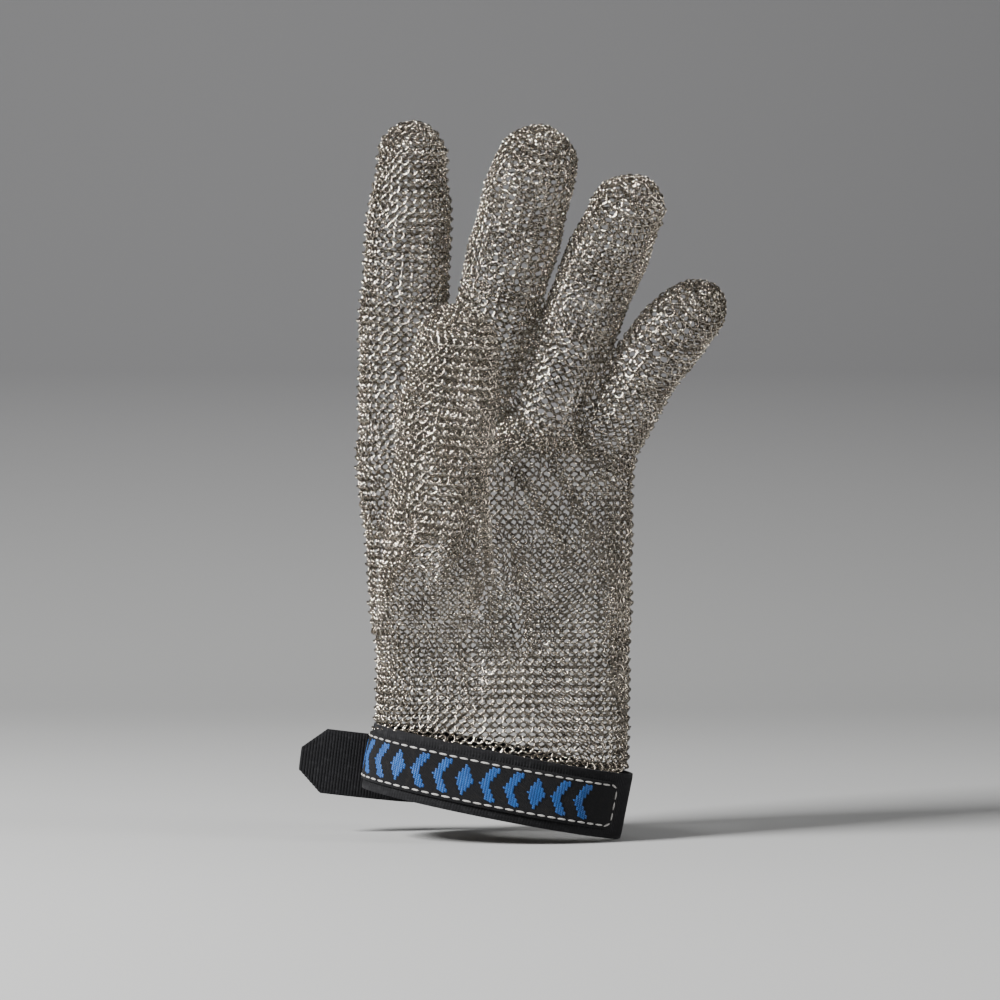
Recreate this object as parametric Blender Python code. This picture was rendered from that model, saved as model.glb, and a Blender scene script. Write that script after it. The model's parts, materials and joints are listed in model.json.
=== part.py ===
"""A cut resistant glove of steel ring mail with a webbing cuff, at rest, palm forward.

Each stretch of mail between two knuckles is one thin shell. A shell ends in a rounded
skirt that turns inside the shell before it, so every knuckle can bend. The cuff is a
woven band over the mail's lower edge, with a lining, a label and a strap that a press
stud closes at the back of the wrist.

World frame: +Z up towards the fingertips, -Y towards the palm side, and the origin at
the centre of the cuff's lower opening.
"""

import math
from typing import NamedTuple

import bmesh
import bpy
from mathutils import Matrix, Vector

MM = 0.001

# Ring mail
MAIL_WALL = 1.2 * MM
KNUCKLE_GAP = 0.4 * MM  # a skirt's clearance inside the shell that it turns in
KNUCKLE_RELIEF = 1.0 * MM  # what a shell is cut back by, beyond the next shell's radius
RELIEF_BACK = 1.0 * MM  # how far behind the knuckle's axis the cut reaches
RIM_RISE = 0.5 * MM  # how far a shell's back reaches past the knuckle's axis
SKIRT_DEG = 45.0  # how far below its equator a skirt reaches
FINGER_SIDES = 20
HAND_SIDES = 32

# Wrist
WRIST_HEIGHT = 56 * MM
WRIST_OFFSET = 4.4 * MM  # of the wrist's centre towards the little finger
WRIST_HALF_WIDTH = 47.6 * MM
WRIST_HALF_DEPTH = 27.0 * MM
WRIST_RELIEF = 9.0 * MM  # from the wrist's axis down to the gauntlet's rim
WRIST_SKIRT_DEG = 34.0
GAUNTLET_RISE = 7.238 * MM  # from the cuff's top up to where the mail narrows to the wrist

# Cuff
CUFF_TILT_DEG = 11.2
CUFF_HALF_WIDTH = 50.5 * MM
CUFF_HALF_DEPTH = 30.5 * MM
CUFF_SIDES = 40
WEBBING_WIDTH = 25.0 * MM
BAND_THICKNESS = 1.4 * MM
LINING_THICKNESS = 1.2 * MM
LINING_WIDTH = 22.0 * MM
LAYER_GAP = 0.3 * MM
MAIL_INSET = 3.0 * MM  # from the cuff's lower edge up to the mail's

# Label
LABEL_WIDTH = 18.0 * MM
LABEL_THICKNESS = 0.6 * MM
LABEL_FROM_DEG = -27.0
LABEL_TO_DEG = -195.0
LABEL_CORNER = 4.0 * MM

# Strap
STRAP_TILT_DEG = 7.0
STRAP_HEIGHT = 10.0 * MM  # of the strap's centre line at the middle of the back
STRAP_THICKNESS = 1.5 * MM
STRAP_CLEARANCE = 0.15 * MM  # of the strap over the press stud's socket
STRAP_SIDE_CLEARANCE = 1.6 * MM  # room for the strap's tilt beside the band's ends
STRAP_FROM_DEG = 26.0
STRAP_HINGE_DEG = 46.0
STRAP_LEAVES_DEG = 134.0
STRAP_FOLD_GAP = 1.0 * MM
TAIL_LENGTH = 41.0 * MM
TAIL_POINT = 9.0 * MM  # the length over which the tail's end tapers
TAIL_TIP_WIDTH = 9.0 * MM

# Press stud
STUD_HEIGHT = 11.0 * MM
STUD_HEAD_RADIUS = 2.1 * MM
STUD_NECK_RADIUS = 1.7 * MM
STUD_FLANGE_RADIUS = 5.0 * MM
STUD_FLANGE = 0.6 * MM
STUD_RISE = 2.9 * MM  # from the band's face to the top of the stud's head
SOCKET_CLEARANCE = 0.35 * MM
SOCKET_ROOF = 0.45 * MM
SHANK_RADIUS = 2.0 * MM
SHANK_CLEARANCE = 0.4 * MM
CAP_RADIUS = 6.2 * MM
CAP_HEIGHT = 2.2 * MM
SEAT_GAP = 0.35 * MM
STUD_SIDES = 24


class Finger(NamedTuple):
    """A finger's or the thumb's mail. Lengths and radii are in millimetres.

    depths and widths are the outer half-sizes at the root, each knuckle and the tip.
    flexes are the angles of its stretches towards the palm, from straight up.
    """

    name: str
    root: tuple
    splay: float
    yaw: float
    socket_flex: float
    flexes: tuple
    lengths: tuple
    depths: tuple
    widths: tuple
    parts: tuple = ("base", "middle", "tip")


FINGERS = (
    Finger(
        "index", (-36, 4, 148), 3.5, 0, 0, (2, 8, 14), (47, 32, 37),
        (14.0, 14.0, 13.0, 9.8), (14.6, 16.5, 15.3, 11.6),
    ),
    Finger(
        "middle", (-7, 7, 155), 13.5, 3, 0, (14, 32, 44), (50, 34, 36),
        (14.0, 14.4, 13.6, 11.0), (14.4, 15.4, 15.8, 13.0),
    ),
    Finger(
        "ring", (20, 7, 147), 17, 7, 0, (18, 36, 50), (47, 33, 36),
        (13.8, 14.0, 12.8, 10.0), (13.2, 14.0, 14.2, 11.6),
    ),
    Finger(
        "little", (42, 4, 136.5), 20, 25, 0, (15, 36, 50), (37, 24, 24),
        (12.8, 13.0, 12.0, 9.4), (11.6, 12.8, 12.8, 10.5),
    ),
)  # fmt: skip
THUMB = Finger(
    "thumb", (-21, -36, 108), 7, 0, 12, (8, 12), (42, 43),
    (16.5, 16.0, 11.5), (17.5, 18.6, 13.6), ("base", "tip"),
)  # fmt: skip

# The hand's sections, from the wrist up: height, centre's x and y, half-width, half-depth.
HAND_SECTIONS_MM = (
    (66, 4.2, 0, 48.0, 26.2),
    (84, 3.6, 1, 49.6, 25.4),
    (110, 2.4, 3, 51.0, 22.4),
    (134, 1.6, 5, 52.3, 18.4),
)
THENAR_START_MM = (-22, -3, 68)
THENAR_HALF_SIZE_MM = 20.0
THENAR_LEAD = 34.0 * MM  # how far below the thumb's root its mail already points its way
THENAR_RINGS = 7
SOCKET_DEPTH = 26.0 * MM  # how far a finger's socket reaches down into the hand
SOCKET_WEB = 2.5 * MM  # how far a palm relief reaches past its socket on each side
HAND_SOLVER = "MANIFOLD"  # where thin webs meet between sockets, EXACT leaves open edges


def clear_scene():
    for obj in list(bpy.data.objects):
        bpy.data.objects.remove(obj, do_unlink=True)


def make_material(name, colour, roughness, metallic):
    material = bpy.data.materials.new(name)
    material.use_nodes = True
    shader = material.node_tree.nodes["Principled BSDF"]
    shader.inputs["Base Color"].default_value = (*colour, 1)
    shader.inputs["Roughness"].default_value = roughness
    shader.inputs["Metallic"].default_value = metallic
    material.diffuse_color = (*colour, 1)
    return material


class Finish(NamedTuple):
    colour: tuple
    roughness: float
    metallic: float


STEEL_MAIL = Finish((0.52, 0.50, 0.47), 0.32, 1.0)
BLACK_WEBBING = Finish((0.018, 0.018, 0.020), 0.85, 0.0)
BLACK_LINING = Finish((0.026, 0.026, 0.028), 0.90, 0.0)
WOVEN_LABEL = Finish((0.020, 0.075, 0.190), 0.70, 0.0)
PLATED_STUD = Finish((0.62, 0.62, 0.60), 0.22, 1.0)


def add_object(name, mesh, finish=None):
    """A new object in the scene, with a material of its own if it has a finish."""
    obj = bpy.data.objects.new(name, mesh)
    bpy.context.scene.collection.objects.link(obj)
    if finish:
        mesh.materials.append(make_material(f"{name}_material", *finish))
    return obj


def mesh_of(name, bm):
    """A mesh of triangles facing out. A lofted quad isn't flat, and a Boolean needs flat faces."""
    bmesh.ops.triangulate(bm, faces=bm.faces)
    bmesh.ops.recalc_face_normals(bm, faces=bm.faces)
    mesh = bpy.data.meshes.new(name)
    bm.to_mesh(mesh)
    bm.free()
    return mesh


def ellipse(frame, half_width, half_depth, height, sides):
    """A ring of points round a frame's Z axis."""
    turns = [2 * math.pi * n / sides for n in range(sides)]
    return [
        frame @ Vector((half_width * math.cos(t), half_depth * math.sin(t), height))
        for t in turns
    ]


def bridge(bm, ring, other):
    for n in range(len(ring)):
        m = (n + 1) % len(ring)
        bm.faces.new((ring[n], ring[m], other[m], other[n]))


def fan(bm, ring, pole):
    for n in range(len(ring)):
        bm.faces.new((ring[n], ring[(n + 1) % len(ring)], pole))


def solid_mesh(name, rings):
    """A closed solid through rings of points, with flat ends."""
    bm = bmesh.new()
    loops = [[bm.verts.new(p) for p in ring] for ring in rings]
    for loop, following in zip(loops, loops[1:]):
        bridge(bm, loop, following)
    bm.faces.new(loops[0])
    bm.faces.new(loops[-1])
    return mesh_of(name, bm)


def shell_mesh(name, outer, inner, poles=None):
    """A closed skin between two stacks of rings. poles close its far end as a dome."""
    bm = bmesh.new()
    skins = [[[bm.verts.new(p) for p in ring] for ring in skin] for skin in (outer, inner)]
    for loops in skins:
        for loop, following in zip(loops, loops[1:]):
            bridge(bm, loop, following)
    bridge(bm, skins[0][0], skins[1][0])
    if poles:
        for loops, pole in zip(skins, poles):
            fan(bm, loops[-1], bm.verts.new(pole))
    else:
        bridge(bm, skins[0][-1], skins[1][-1])
    return mesh_of(name, bm)


def apply_boolean(target, tool, operation, solver="EXACT"):
    """A live Boolean, with its tool kept out of the render."""
    modifier = target.modifiers.new(f"{operation.lower()}_{tool.name}", "BOOLEAN")
    modifier.operation = operation
    modifier.solver = solver
    modifier.object = tool
    tool.hide_render = True
    tool.display_type = "WIRE"


def set_origin(obj, frame):
    """Moves an object's origin to a frame, and its mesh the other way."""
    obj.data.transform(frame.inverted())
    obj.matrix_basis = frame


def parent_to(child, parent):
    child.parent = parent
    child.matrix_parent_inverse = parent.matrix_basis.inverted()


def millimetres(values):
    return Vector([v * MM for v in values])


def tilted(degrees, origin=(0, 0, 0)):
    """A frame whose Z axis leans towards +X."""
    return Matrix.Translation(origin) @ Matrix.Rotation(math.radians(degrees), 4, "Y")


def skirt_rings(frame, half_width, half_depth, degrees, sides):
    """Rings of an ellipsoid below its equator, from the lowest up to the equator."""
    rings = []
    for share in (1.0, 0.5, 0.0):
        angle = math.radians(degrees) * share
        size = math.cos(angle)
        drop = -half_depth * math.sin(angle)
        rings.append(ellipse(frame, half_width * size, half_depth * size, drop, sides))
    return rings


# Fingers


def finger_frame(finger):
    """A finger's straight pose: X along its knuckles' axes, Z up the finger."""
    turn = Matrix.Rotation(math.radians(finger.splay), 4, "Y")
    turn @= Matrix.Rotation(math.radians(finger.yaw), 4, "Z")
    return Matrix.Translation(millimetres(finger.root)) @ turn


def flexed(frame, degrees):
    return frame @ Matrix.Rotation(math.radians(degrees), 4, "X")


def stretch_frames(finger):
    """The frame of each of a finger's stretches, at its lower knuckle."""
    straight, frames = finger_frame(finger), []
    place = straight.translation
    turn = straight.to_3x3().to_4x4()
    for flex, length in zip(finger.flexes, finger.lengths):
        frame = flexed(Matrix.Translation(place) @ turn, flex)
        frames.append(frame)
        place = frame @ Vector((0, 0, length * MM))
    return frames


def knuckle_relief(name, frame, half_width, radius):
    """The block that is cut from a shell's palm side, so that the next one can bend."""
    low = -(radius + KNUCKLE_RELIEF)
    high = 2 * radius
    front = -3 * radius
    sides = ((-half_width, front), (half_width, front))
    sides += ((half_width, RELIEF_BACK), (-half_width, RELIEF_BACK))
    rings = [[frame @ Vector((x, y, z)) for x, y in sides] for z in (low, high)]
    return add_object(name, solid_mesh(name, rings))


def build_stretch(finger, number, frame, parent):
    """One shell of a finger's mail, with its origin on its lower knuckle."""
    name = f"{finger.name}_{finger.parts[number]}_mail"
    fit = MAIL_WALL + KNUCKLE_GAP
    length = finger.lengths[number] * MM
    depth = finger.depths[number] * MM - fit
    width = finger.widths[number] * MM - fit
    far_depth = finger.depths[number + 1] * MM
    far_width = finger.widths[number + 1] * MM
    is_tip = number == len(finger.parts) - 1
    here = Matrix.Identity(4)
    poles = None
    skins = []
    for wall in (0.0, MAIL_WALL):
        skin = skirt_rings(here, width - wall, depth - wall, SKIRT_DEG, FINGER_SIDES)
        if is_tip:
            skin += dome_rings(here, length, far_width, far_depth, wall)
        else:
            top = length + RIM_RISE
            sizes = (far_width - wall, far_depth - wall)
            skin.append(ellipse(here, *sizes, length - far_depth, FINGER_SIDES))
            skin.append(ellipse(here, *sizes, top, FINGER_SIDES))
        skins.append(skin)
    if is_tip:
        poles = (Vector((0, 0, length)), Vector((0, 0, length - MAIL_WALL)))
    obj = add_object(name, shell_mesh(name, *skins, poles), STEEL_MAIL)
    obj.matrix_basis = frame
    parent_to(obj, parent)
    if not is_tip:
        knuckle = frame @ Matrix.Translation((0, 0, length))
        relief = knuckle_relief(f"{name}_relief", knuckle, 1.5 * far_width, far_depth)
        apply_boolean(obj, relief, "DIFFERENCE")
    return obj


def dome_rings(frame, length, half_width, half_depth, wall):
    """The rings of a fingertip, up to the last one under its pole."""
    base = length - 1.15 * half_depth
    rise = length - base - wall
    rings = []
    for degrees in (0, 30, 60):
        angle = math.radians(degrees)
        size = math.cos(angle)
        height = base + rise * math.sin(angle)
        sizes = ((half_width - wall) * size, (half_depth - wall) * size)
        rings.append(ellipse(frame, *sizes, height, FINGER_SIDES))
    return rings


def build_finger(finger, parent):
    for number, frame in enumerate(stretch_frames(finger)):
        parent = build_stretch(finger, number, frame, parent)


# Hand


def wrist_frame():
    return Matrix.Translation((WRIST_OFFSET, 0, WRIST_HEIGHT))


def hand_rings(wall, extend):
    """The hand's rings with a wall taken off. extend pushes both ends outwards."""
    fit = MAIL_WALL + KNUCKLE_GAP
    width = WRIST_HALF_WIDTH - fit - wall
    depth = WRIST_HALF_DEPTH - fit - wall
    rings = skirt_rings(wrist_frame(), width, depth, WRIST_SKIRT_DEG, HAND_SIDES)
    if extend:
        lowest = [p - Vector((0, 0, extend)) for p in rings[0]]
        rings.insert(0, lowest)
    for section in HAND_SECTIONS_MM:
        height, x, y, half_width, half_depth = (v * MM for v in section)
        place = Matrix.Translation((x, y, 0))
        top = height - wall * (section == HAND_SECTIONS_MM[-1])
        sizes = (half_width - wall, half_depth - wall)
        rings.append(ellipse(place, *sizes, top, HAND_SIDES))
    return rings


def socket_rings(finger, wall, extend):
    """The rings of a finger's socket in the hand, straight down from its root."""
    frame = flexed(finger_frame(finger), finger.socket_flex)
    sizes = (finger.widths[0] * MM - wall, finger.depths[0] * MM - wall)
    ends = (-SOCKET_DEPTH - extend, RIM_RISE + extend)
    return [ellipse(frame, *sizes, z, FINGER_SIDES) for z in ends]


def thenar_rings(wall, extend):
    """The rings from inside the heel of the hand up to the thumb's root."""
    frame = flexed(finger_frame(THUMB), THUMB.socket_flex)
    start = millimetres(THENAR_START_MM)
    end = frame.translation
    lead = frame @ Vector((0, 0, -THENAR_LEAD))
    rings = []
    for n in range(THENAR_RINGS):
        t = n / (THENAR_RINGS - 1)
        place = start * (1 - t) ** 2 + lead * 2 * t * (1 - t) + end * t**2
        along = (lead - start) * (1 - t) + (end - lead) * t
        side = frame.to_3x3().col[0]
        back = along.cross(side).normalized()
        turn = Matrix((back.cross(along).normalized(), back, along.normalized()))
        place = Matrix.Translation(place) @ turn.transposed().to_4x4()
        width = THENAR_HALF_SIZE_MM * (1 - t) + THUMB.widths[0] * t
        depth = THENAR_HALF_SIZE_MM * (1 - t) + THUMB.depths[0] * t
        sizes = (width * MM - wall, depth * MM - wall)
        rings.append(ellipse(place, *sizes, 0, FINGER_SIDES))
    sizes = (THUMB.widths[0] * MM - wall, THUMB.depths[0] * MM - wall)
    rings.append(ellipse(frame, *sizes, RIM_RISE + extend, FINGER_SIDES))
    return rings


def hand_volume(name, wall, extend, finish=None):
    """The hand with its sockets as one solid. The skin lies between two of these."""
    body = add_object(name, solid_mesh(name, hand_rings(wall, extend)), finish)
    stacks = {f.name: socket_rings(f, wall, extend) for f in FINGERS}
    stacks[THUMB.name] = thenar_rings(wall, extend)
    for part, rings in stacks.items():
        tool = f"{name}_{part}"
        apply_boolean(body, add_object(tool, solid_mesh(tool, rings)), "UNION", HAND_SOLVER)
    return body


def build_hand(parent):
    """The palm and back of the hand, with a socket for each finger and the thumb."""
    hand = hand_volume("palm_mail", 0.0, 0.0, STEEL_MAIL)
    inside = hand_volume("palm_hollow", MAIL_WALL, 6 * MM)
    apply_boolean(hand, inside, "DIFFERENCE", HAND_SOLVER)
    for finger in (*FINGERS, THUMB):
        frame = flexed(finger_frame(finger), finger.socket_flex)
        width = finger.widths[0] * MM + SOCKET_WEB
        name = f"{finger.name}_socket_relief"
        relief = knuckle_relief(name, frame, width, finger.depths[0] * MM)
        apply_boolean(hand, relief, "DIFFERENCE", HAND_SOLVER)
    set_origin(hand, wrist_frame())
    parent_to(hand, parent)
    return hand


# Cuff


def cuff_frame():
    return tilted(CUFF_TILT_DEG)


def cuff_loop(name, inset, thickness, width, finish):
    """A woven loop round the wrist. inset is from the band's outer face inwards."""
    skins = []
    for depth in (inset, inset + thickness):
        sizes = (CUFF_HALF_WIDTH - depth, CUFF_HALF_DEPTH - depth)
        ends = (0, width)
        skins.append([ellipse(cuff_frame(), *sizes, z, CUFF_SIDES) for z in ends])
    return add_object(name, shell_mesh(name, *skins), finish)


def build_gauntlet(parent):
    """The mail between the cuff and the wrist. Its lower edge lies inside the cuff."""
    inset = BAND_THICKNESS + LAYER_GAP
    width = CUFF_HALF_WIDTH - inset
    depth = CUFF_HALF_DEPTH - inset
    rim = WRIST_HEIGHT - WRIST_RELIEF
    cuff_top = cuff_frame() @ Vector((0, 0, WEBBING_WIDTH))
    middle = (WRIST_OFFSET, 0, cuff_top.z + GAUNTLET_RISE)
    wrist = Matrix.Translation((WRIST_OFFSET, 0, 0))
    skins = []
    for wall in (0.0, MAIL_WALL):
        cuff_sizes = (width - wall, depth - wall)
        wrist_sizes = (WRIST_HALF_WIDTH - wall, WRIST_HALF_DEPTH - wall)
        skins.append(
            [
                ellipse(cuff_frame(), *cuff_sizes, MAIL_INSET, CUFF_SIDES),
                ellipse(cuff_frame(), *cuff_sizes, WEBBING_WIDTH, CUFF_SIDES),
                ellipse(tilted(CUFF_TILT_DEG / 2, middle), *wrist_sizes, 0, CUFF_SIDES),
                ellipse(wrist, *wrist_sizes, rim, CUFF_SIDES),
            ]
        )
    gauntlet = add_object("gauntlet_mail", shell_mesh("gauntlet_mail", *skins), STEEL_MAIL)
    parent_to(gauntlet, parent)
    return gauntlet


def ribbon_mesh(name, frame, stations):
    """A woven strip on edge. A station is its inner and outer point, low and high."""
    rings = []
    for inner, outer, low, high in stations:
        corners = ((inner, low), (outer, low), (outer, high), (inner, high))
        rings.append([frame @ Vector((p.x, p.y, z)) for p, z in corners])
    return solid_mesh(name, rings)


def on_ellipse(half_width, half_depth, degrees):
    angle = math.radians(degrees)
    return Vector((half_width * math.cos(angle), half_depth * math.sin(angle)))


def build_label(parent):
    """The woven label round the front and one side of the band, with a rounded end."""
    steps = 44
    middle = WEBBING_WIDTH / 2
    inner_gap = LAYER_GAP
    outer_gap = LAYER_GAP + LABEL_THICKNESS
    stations = []
    travelled = 0.0
    last = None
    for n in range(steps + 1):
        share = (n / steps) ** 1.3
        degrees = LABEL_FROM_DEG + (LABEL_TO_DEG - LABEL_FROM_DEG) * share
        inner = on_ellipse(CUFF_HALF_WIDTH + inner_gap, CUFF_HALF_DEPTH + inner_gap, degrees)
        outer = on_ellipse(CUFF_HALF_WIDTH + outer_gap, CUFF_HALF_DEPTH + outer_gap, degrees)
        travelled += (outer - last).length if last else 0.0
        last = outer
        short = max(0.0, LABEL_CORNER - travelled)
        pull = LABEL_CORNER - math.sqrt(LABEL_CORNER**2 - short**2)
        half = LABEL_WIDTH / 2 - pull
        stations.append((inner, outer, middle - half, middle + half))
    label = ribbon_mesh("cuff_label", cuff_frame(), stations)
    parent_to(add_object("cuff_label", label, WOVEN_LABEL), parent)


# Strap


def strap_frame():
    """Centred on the cuff's own axis at the strap's height, and less tilted than it."""
    offset = STRAP_HEIGHT * math.tan(math.radians(CUFF_TILT_DEG))
    return tilted(STRAP_TILT_DEG, (offset, 0, STRAP_HEIGHT))


def socket_top():
    """The socket's outer end, from the band's face at the press stud."""
    return STUD_RISE + SEAT_GAP + SOCKET_ROOF


def strap_lift():
    """How far the strap stands off the band there, clear of the socket's whole width."""
    curve = STUD_FLANGE_RADIUS**2 * CUFF_HALF_DEPTH / (2 * CUFF_HALF_WIDTH**2)
    return socket_top() + curve + STRAP_CLEARANCE


def strap_point(degrees):
    """A point on the strap's inner face, which rises off the band towards the stud."""
    share = (degrees - STRAP_FROM_DEG) / (90 - STRAP_FROM_DEG)
    share = min(1.0, max(0.0, share))
    lift = LAYER_GAP + (strap_lift() - LAYER_GAP) * share**2 * (3 - 2 * share)
    side = STRAP_SIDE_CLEARANCE
    return on_ellipse(CUFF_HALF_WIDTH + side, CUFF_HALF_DEPTH + lift, degrees)


def strap_path():
    """Points along the strap's inner face as (point, distance from its sewn end)."""
    points = [strap_point(d) for d in range(int(STRAP_FROM_DEG), int(STRAP_LEAVES_DEG) + 1, 4)]
    heading = (points[-1] - points[-2]).normalized()
    outward = Vector((-1, 0.02))
    steps = 12
    for n in range(steps):
        share = (n + 1) / steps
        way = heading.lerp(outward, share**0.5).normalized()
        points.append(points[-1] + way * TAIL_LENGTH / steps)
    path = [(points[0], 0.0)]
    for point in points[1:]:
        path.append((point, path[-1][1] + (point - path[-1][0]).length))
    return path


def point_at(path, distance):
    """The point on a path at a distance, and the outward direction there."""
    pairs = list(zip(path, path[1:]))
    near, far = next((a, b) for a, b in pairs if b[1] >= distance or b is path[-1])
    way = (far[0] - near[0]).normalized()
    return near[0] + way * (distance - near[1]), Vector((way.y, -way.x))


def strap_piece(name, path, start, end, half_width):
    """The strap between two distances. half_width gives its half-width at a distance."""
    inside = [d for _, d in path if start + MM < d < end - MM]
    stations = []
    for distance in (start, *inside, end):
        point, outward = point_at(path, distance)
        half = half_width(distance)
        stations.append((point, point + outward * STRAP_THICKNESS, -half, half))
    return add_object(name, ribbon_mesh(name, strap_frame(), stations), BLACK_WEBBING)


def fold_frame(path, distance):
    """A frame on the strap's middle line, with Z along the fold."""
    point, outward = point_at(path, distance)
    middle = point + outward * STRAP_THICKNESS / 2
    return strap_frame() @ Matrix.Translation((middle.x, middle.y, 0))


def distance_at(path, degrees):
    """How far along the strap the point nearest to an angle round the band is."""
    target = strap_point(degrees)
    return min(path, key=lambda station: (station[0] - target).length)[1]


def build_strap(parent):
    """The sewn end, the part that opens and the free tail, and the tail's frames."""
    path = strap_path()
    total = path[-1][1]
    hinge = distance_at(path, STRAP_HINGE_DEG)
    fold = distance_at(path, STRAP_LEAVES_DEG)
    half_gap = STRAP_FOLD_GAP / 2

    def full(_):
        return WEBBING_WIDTH / 2

    def tapered(distance):
        left = min(1.0, (total - distance) / TAIL_POINT)
        return (TAIL_TIP_WIDTH + (WEBBING_WIDTH - TAIL_TIP_WIDTH) * left) / 2

    anchor = strap_piece("strap_anchor", path, 0.0, hinge - half_gap, full)
    parent_to(anchor, parent)
    strap = strap_piece("strap_web", path, hinge + half_gap, fold - half_gap, full)
    set_origin(strap, fold_frame(path, hinge))
    parent_to(strap, parent)
    tail = strap_piece("strap_tail_web", path, fold + half_gap, total, tapered)
    set_origin(tail, fold_frame(path, fold))
    parent_to(tail, strap)
    return strap


# Press stud


def stud_frame():
    """On the band's outer face at the middle of the back, with Z straight out."""
    place = Matrix.Translation((0, CUFF_HALF_DEPTH, STUD_HEIGHT))
    return place @ Matrix.Rotation(math.radians(-90), 4, "X")


def turned_mesh(name, profile, sides=STUD_SIDES):
    """A turned solid from (radius, height) points whose first and last are on the axis."""
    bm = bmesh.new()
    here = Matrix.Identity(4)
    rings = [
        [bm.verts.new(p) for p in ellipse(here, radius, radius, height, sides)]
        for radius, height in profile[1:-1]
    ]
    for ring, following in zip(rings, rings[1:]):
        bridge(bm, ring, following)
    fan(bm, rings[0], bm.verts.new((0, 0, profile[0][1])))
    fan(bm, rings[-1], bm.verts.new((0, 0, profile[-1][1])))
    return mesh_of(name, bm)


def add_turned(name, profile, parent):
    obj = add_object(name, turned_mesh(name, profile), PLATED_STUD)
    obj.matrix_basis = stud_frame()
    parent_to(obj, parent)


def stud_hole(name, low, high):
    """A cutter for a hole through the layers that the stud's shanks pass."""
    radius = SHANK_RADIUS + SHANK_CLEARANCE
    rings = [ellipse(stud_frame(), radius, radius, z, STUD_SIDES) for z in (low, high)]
    return add_object(name, solid_mesh(name, rings))


def cuff_thickness():
    """All the layers of the cuff, from the band's outer face to the lining's inner."""
    return BAND_THICKNESS + MAIL_WALL + LINING_THICKNESS + 2 * LAYER_GAP


def build_stud(parent):
    """The stud on the band, and the eyelet inside the cuff that its shank meets."""
    flange_top = SEAT_GAP + STUD_FLANGE
    head = STUD_RISE - 1.0 * MM
    stud = (
        (0, SEAT_GAP),
        (STUD_FLANGE_RADIUS - 0.2 * MM, SEAT_GAP),
        (STUD_FLANGE_RADIUS, SEAT_GAP + STUD_FLANGE / 2),
        (STUD_FLANGE_RADIUS - 0.4 * MM, flange_top),
        (STUD_NECK_RADIUS, flange_top),
        (STUD_NECK_RADIUS, head - 0.3 * MM),
        (STUD_HEAD_RADIUS, head),
        (STUD_HEAD_RADIUS, STUD_RISE - 0.4 * MM),
        (STUD_HEAD_RADIUS - 0.7 * MM, STUD_RISE),
        (0, STUD_RISE),
    )
    add_turned("snap_stud", stud, parent)
    seat = -cuff_thickness() - 0.5 * MM
    eyelet = (
        (0, seat - 0.6 * MM),
        (STUD_FLANGE_RADIUS - 0.5 * MM, seat - 0.6 * MM),
        (STUD_FLANGE_RADIUS, seat - 0.3 * MM),
        (STUD_FLANGE_RADIUS - 0.3 * MM, seat),
        (SHANK_RADIUS, seat),
        (SHANK_RADIUS, SEAT_GAP - LAYER_GAP),
        (0, SEAT_GAP - LAYER_GAP),
    )
    add_turned("snap_eyelet", eyelet, parent)


def build_cap(strap):
    """The socket inside the strap that grips the stud, and the cap outside it."""
    mouth = SEAT_GAP + STUD_FLANGE + SEAT_GAP
    cavity = STUD_RISE + SEAT_GAP
    roof = socket_top()
    grip = STUD_HEAD_RADIUS + SOCKET_CLEARANCE
    socket = (
        (0, cavity),
        (grip, cavity),
        (grip, mouth),
        (STUD_FLANGE_RADIUS - 0.3 * MM, mouth),
        (STUD_FLANGE_RADIUS, mouth + 0.4 * MM),
        (STUD_FLANGE_RADIUS - 0.5 * MM, roof),
        (0, roof),
    )
    add_turned("snap_socket", socket, strap)
    seat = strap_lift() + STRAP_THICKNESS + SEAT_GAP
    cap = (
        (0, roof + LAYER_GAP),
        (SHANK_RADIUS, roof + LAYER_GAP),
        (SHANK_RADIUS, seat),
        (CAP_RADIUS - 0.3 * MM, seat),
        (CAP_RADIUS, seat + 0.5 * MM),
        (CAP_RADIUS * 0.86, seat + CAP_HEIGHT * 0.62),
        (CAP_RADIUS * 0.5, seat + CAP_HEIGHT * 0.92),
        (0, seat + CAP_HEIGHT),
    )
    add_turned("snap_cap", cap, strap)


def build_cuff():
    """Everything that stays with the wrist. Returns the band, the whole glove's parent."""
    band = cuff_loop("cuff_band", 0.0, BAND_THICKNESS, WEBBING_WIDTH, BLACK_WEBBING)
    under = BAND_THICKNESS + MAIL_WALL + 2 * LAYER_GAP
    lining = cuff_loop("cuff_lining", under, LINING_THICKNESS, LINING_WIDTH, BLACK_LINING)
    parent_to(lining, band)
    gauntlet = build_gauntlet(band)
    build_label(band)
    strap = build_strap(band)
    hole = stud_hole("cuff_stud_hole", -2 * cuff_thickness(), 2 * MM)
    for layer in (band, lining, gauntlet):
        apply_boolean(layer, hole, "DIFFERENCE")
    strap_hole = stud_hole("strap_stud_hole", strap_lift() / 2, 2 * strap_lift())
    apply_boolean(strap, strap_hole, "DIFFERENCE")
    build_stud(band)
    build_cap(strap)
    return band


def main():
    clear_scene()
    cuff = build_cuff()
    hand = build_hand(cuff)
    for finger in (*FINGERS, THUMB):
        build_finger(finger, hand)


main()
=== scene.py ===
"""A cut resistant glove: steel ring mail on a webbing cuff with a woven label and a strap.

The mail is woven ring by ring. Each finger, the thumb and the hand is a tapering tube, the
tubes run together into one skin, and rows of rings go round them. The rows lean one way and
the other in turn, so that each ring passes through four of its neighbours.
"""

import json
import logging
import math
from dataclasses import dataclass, field
from enum import Enum
from typing import Callable, Optional, Sequence

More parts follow.
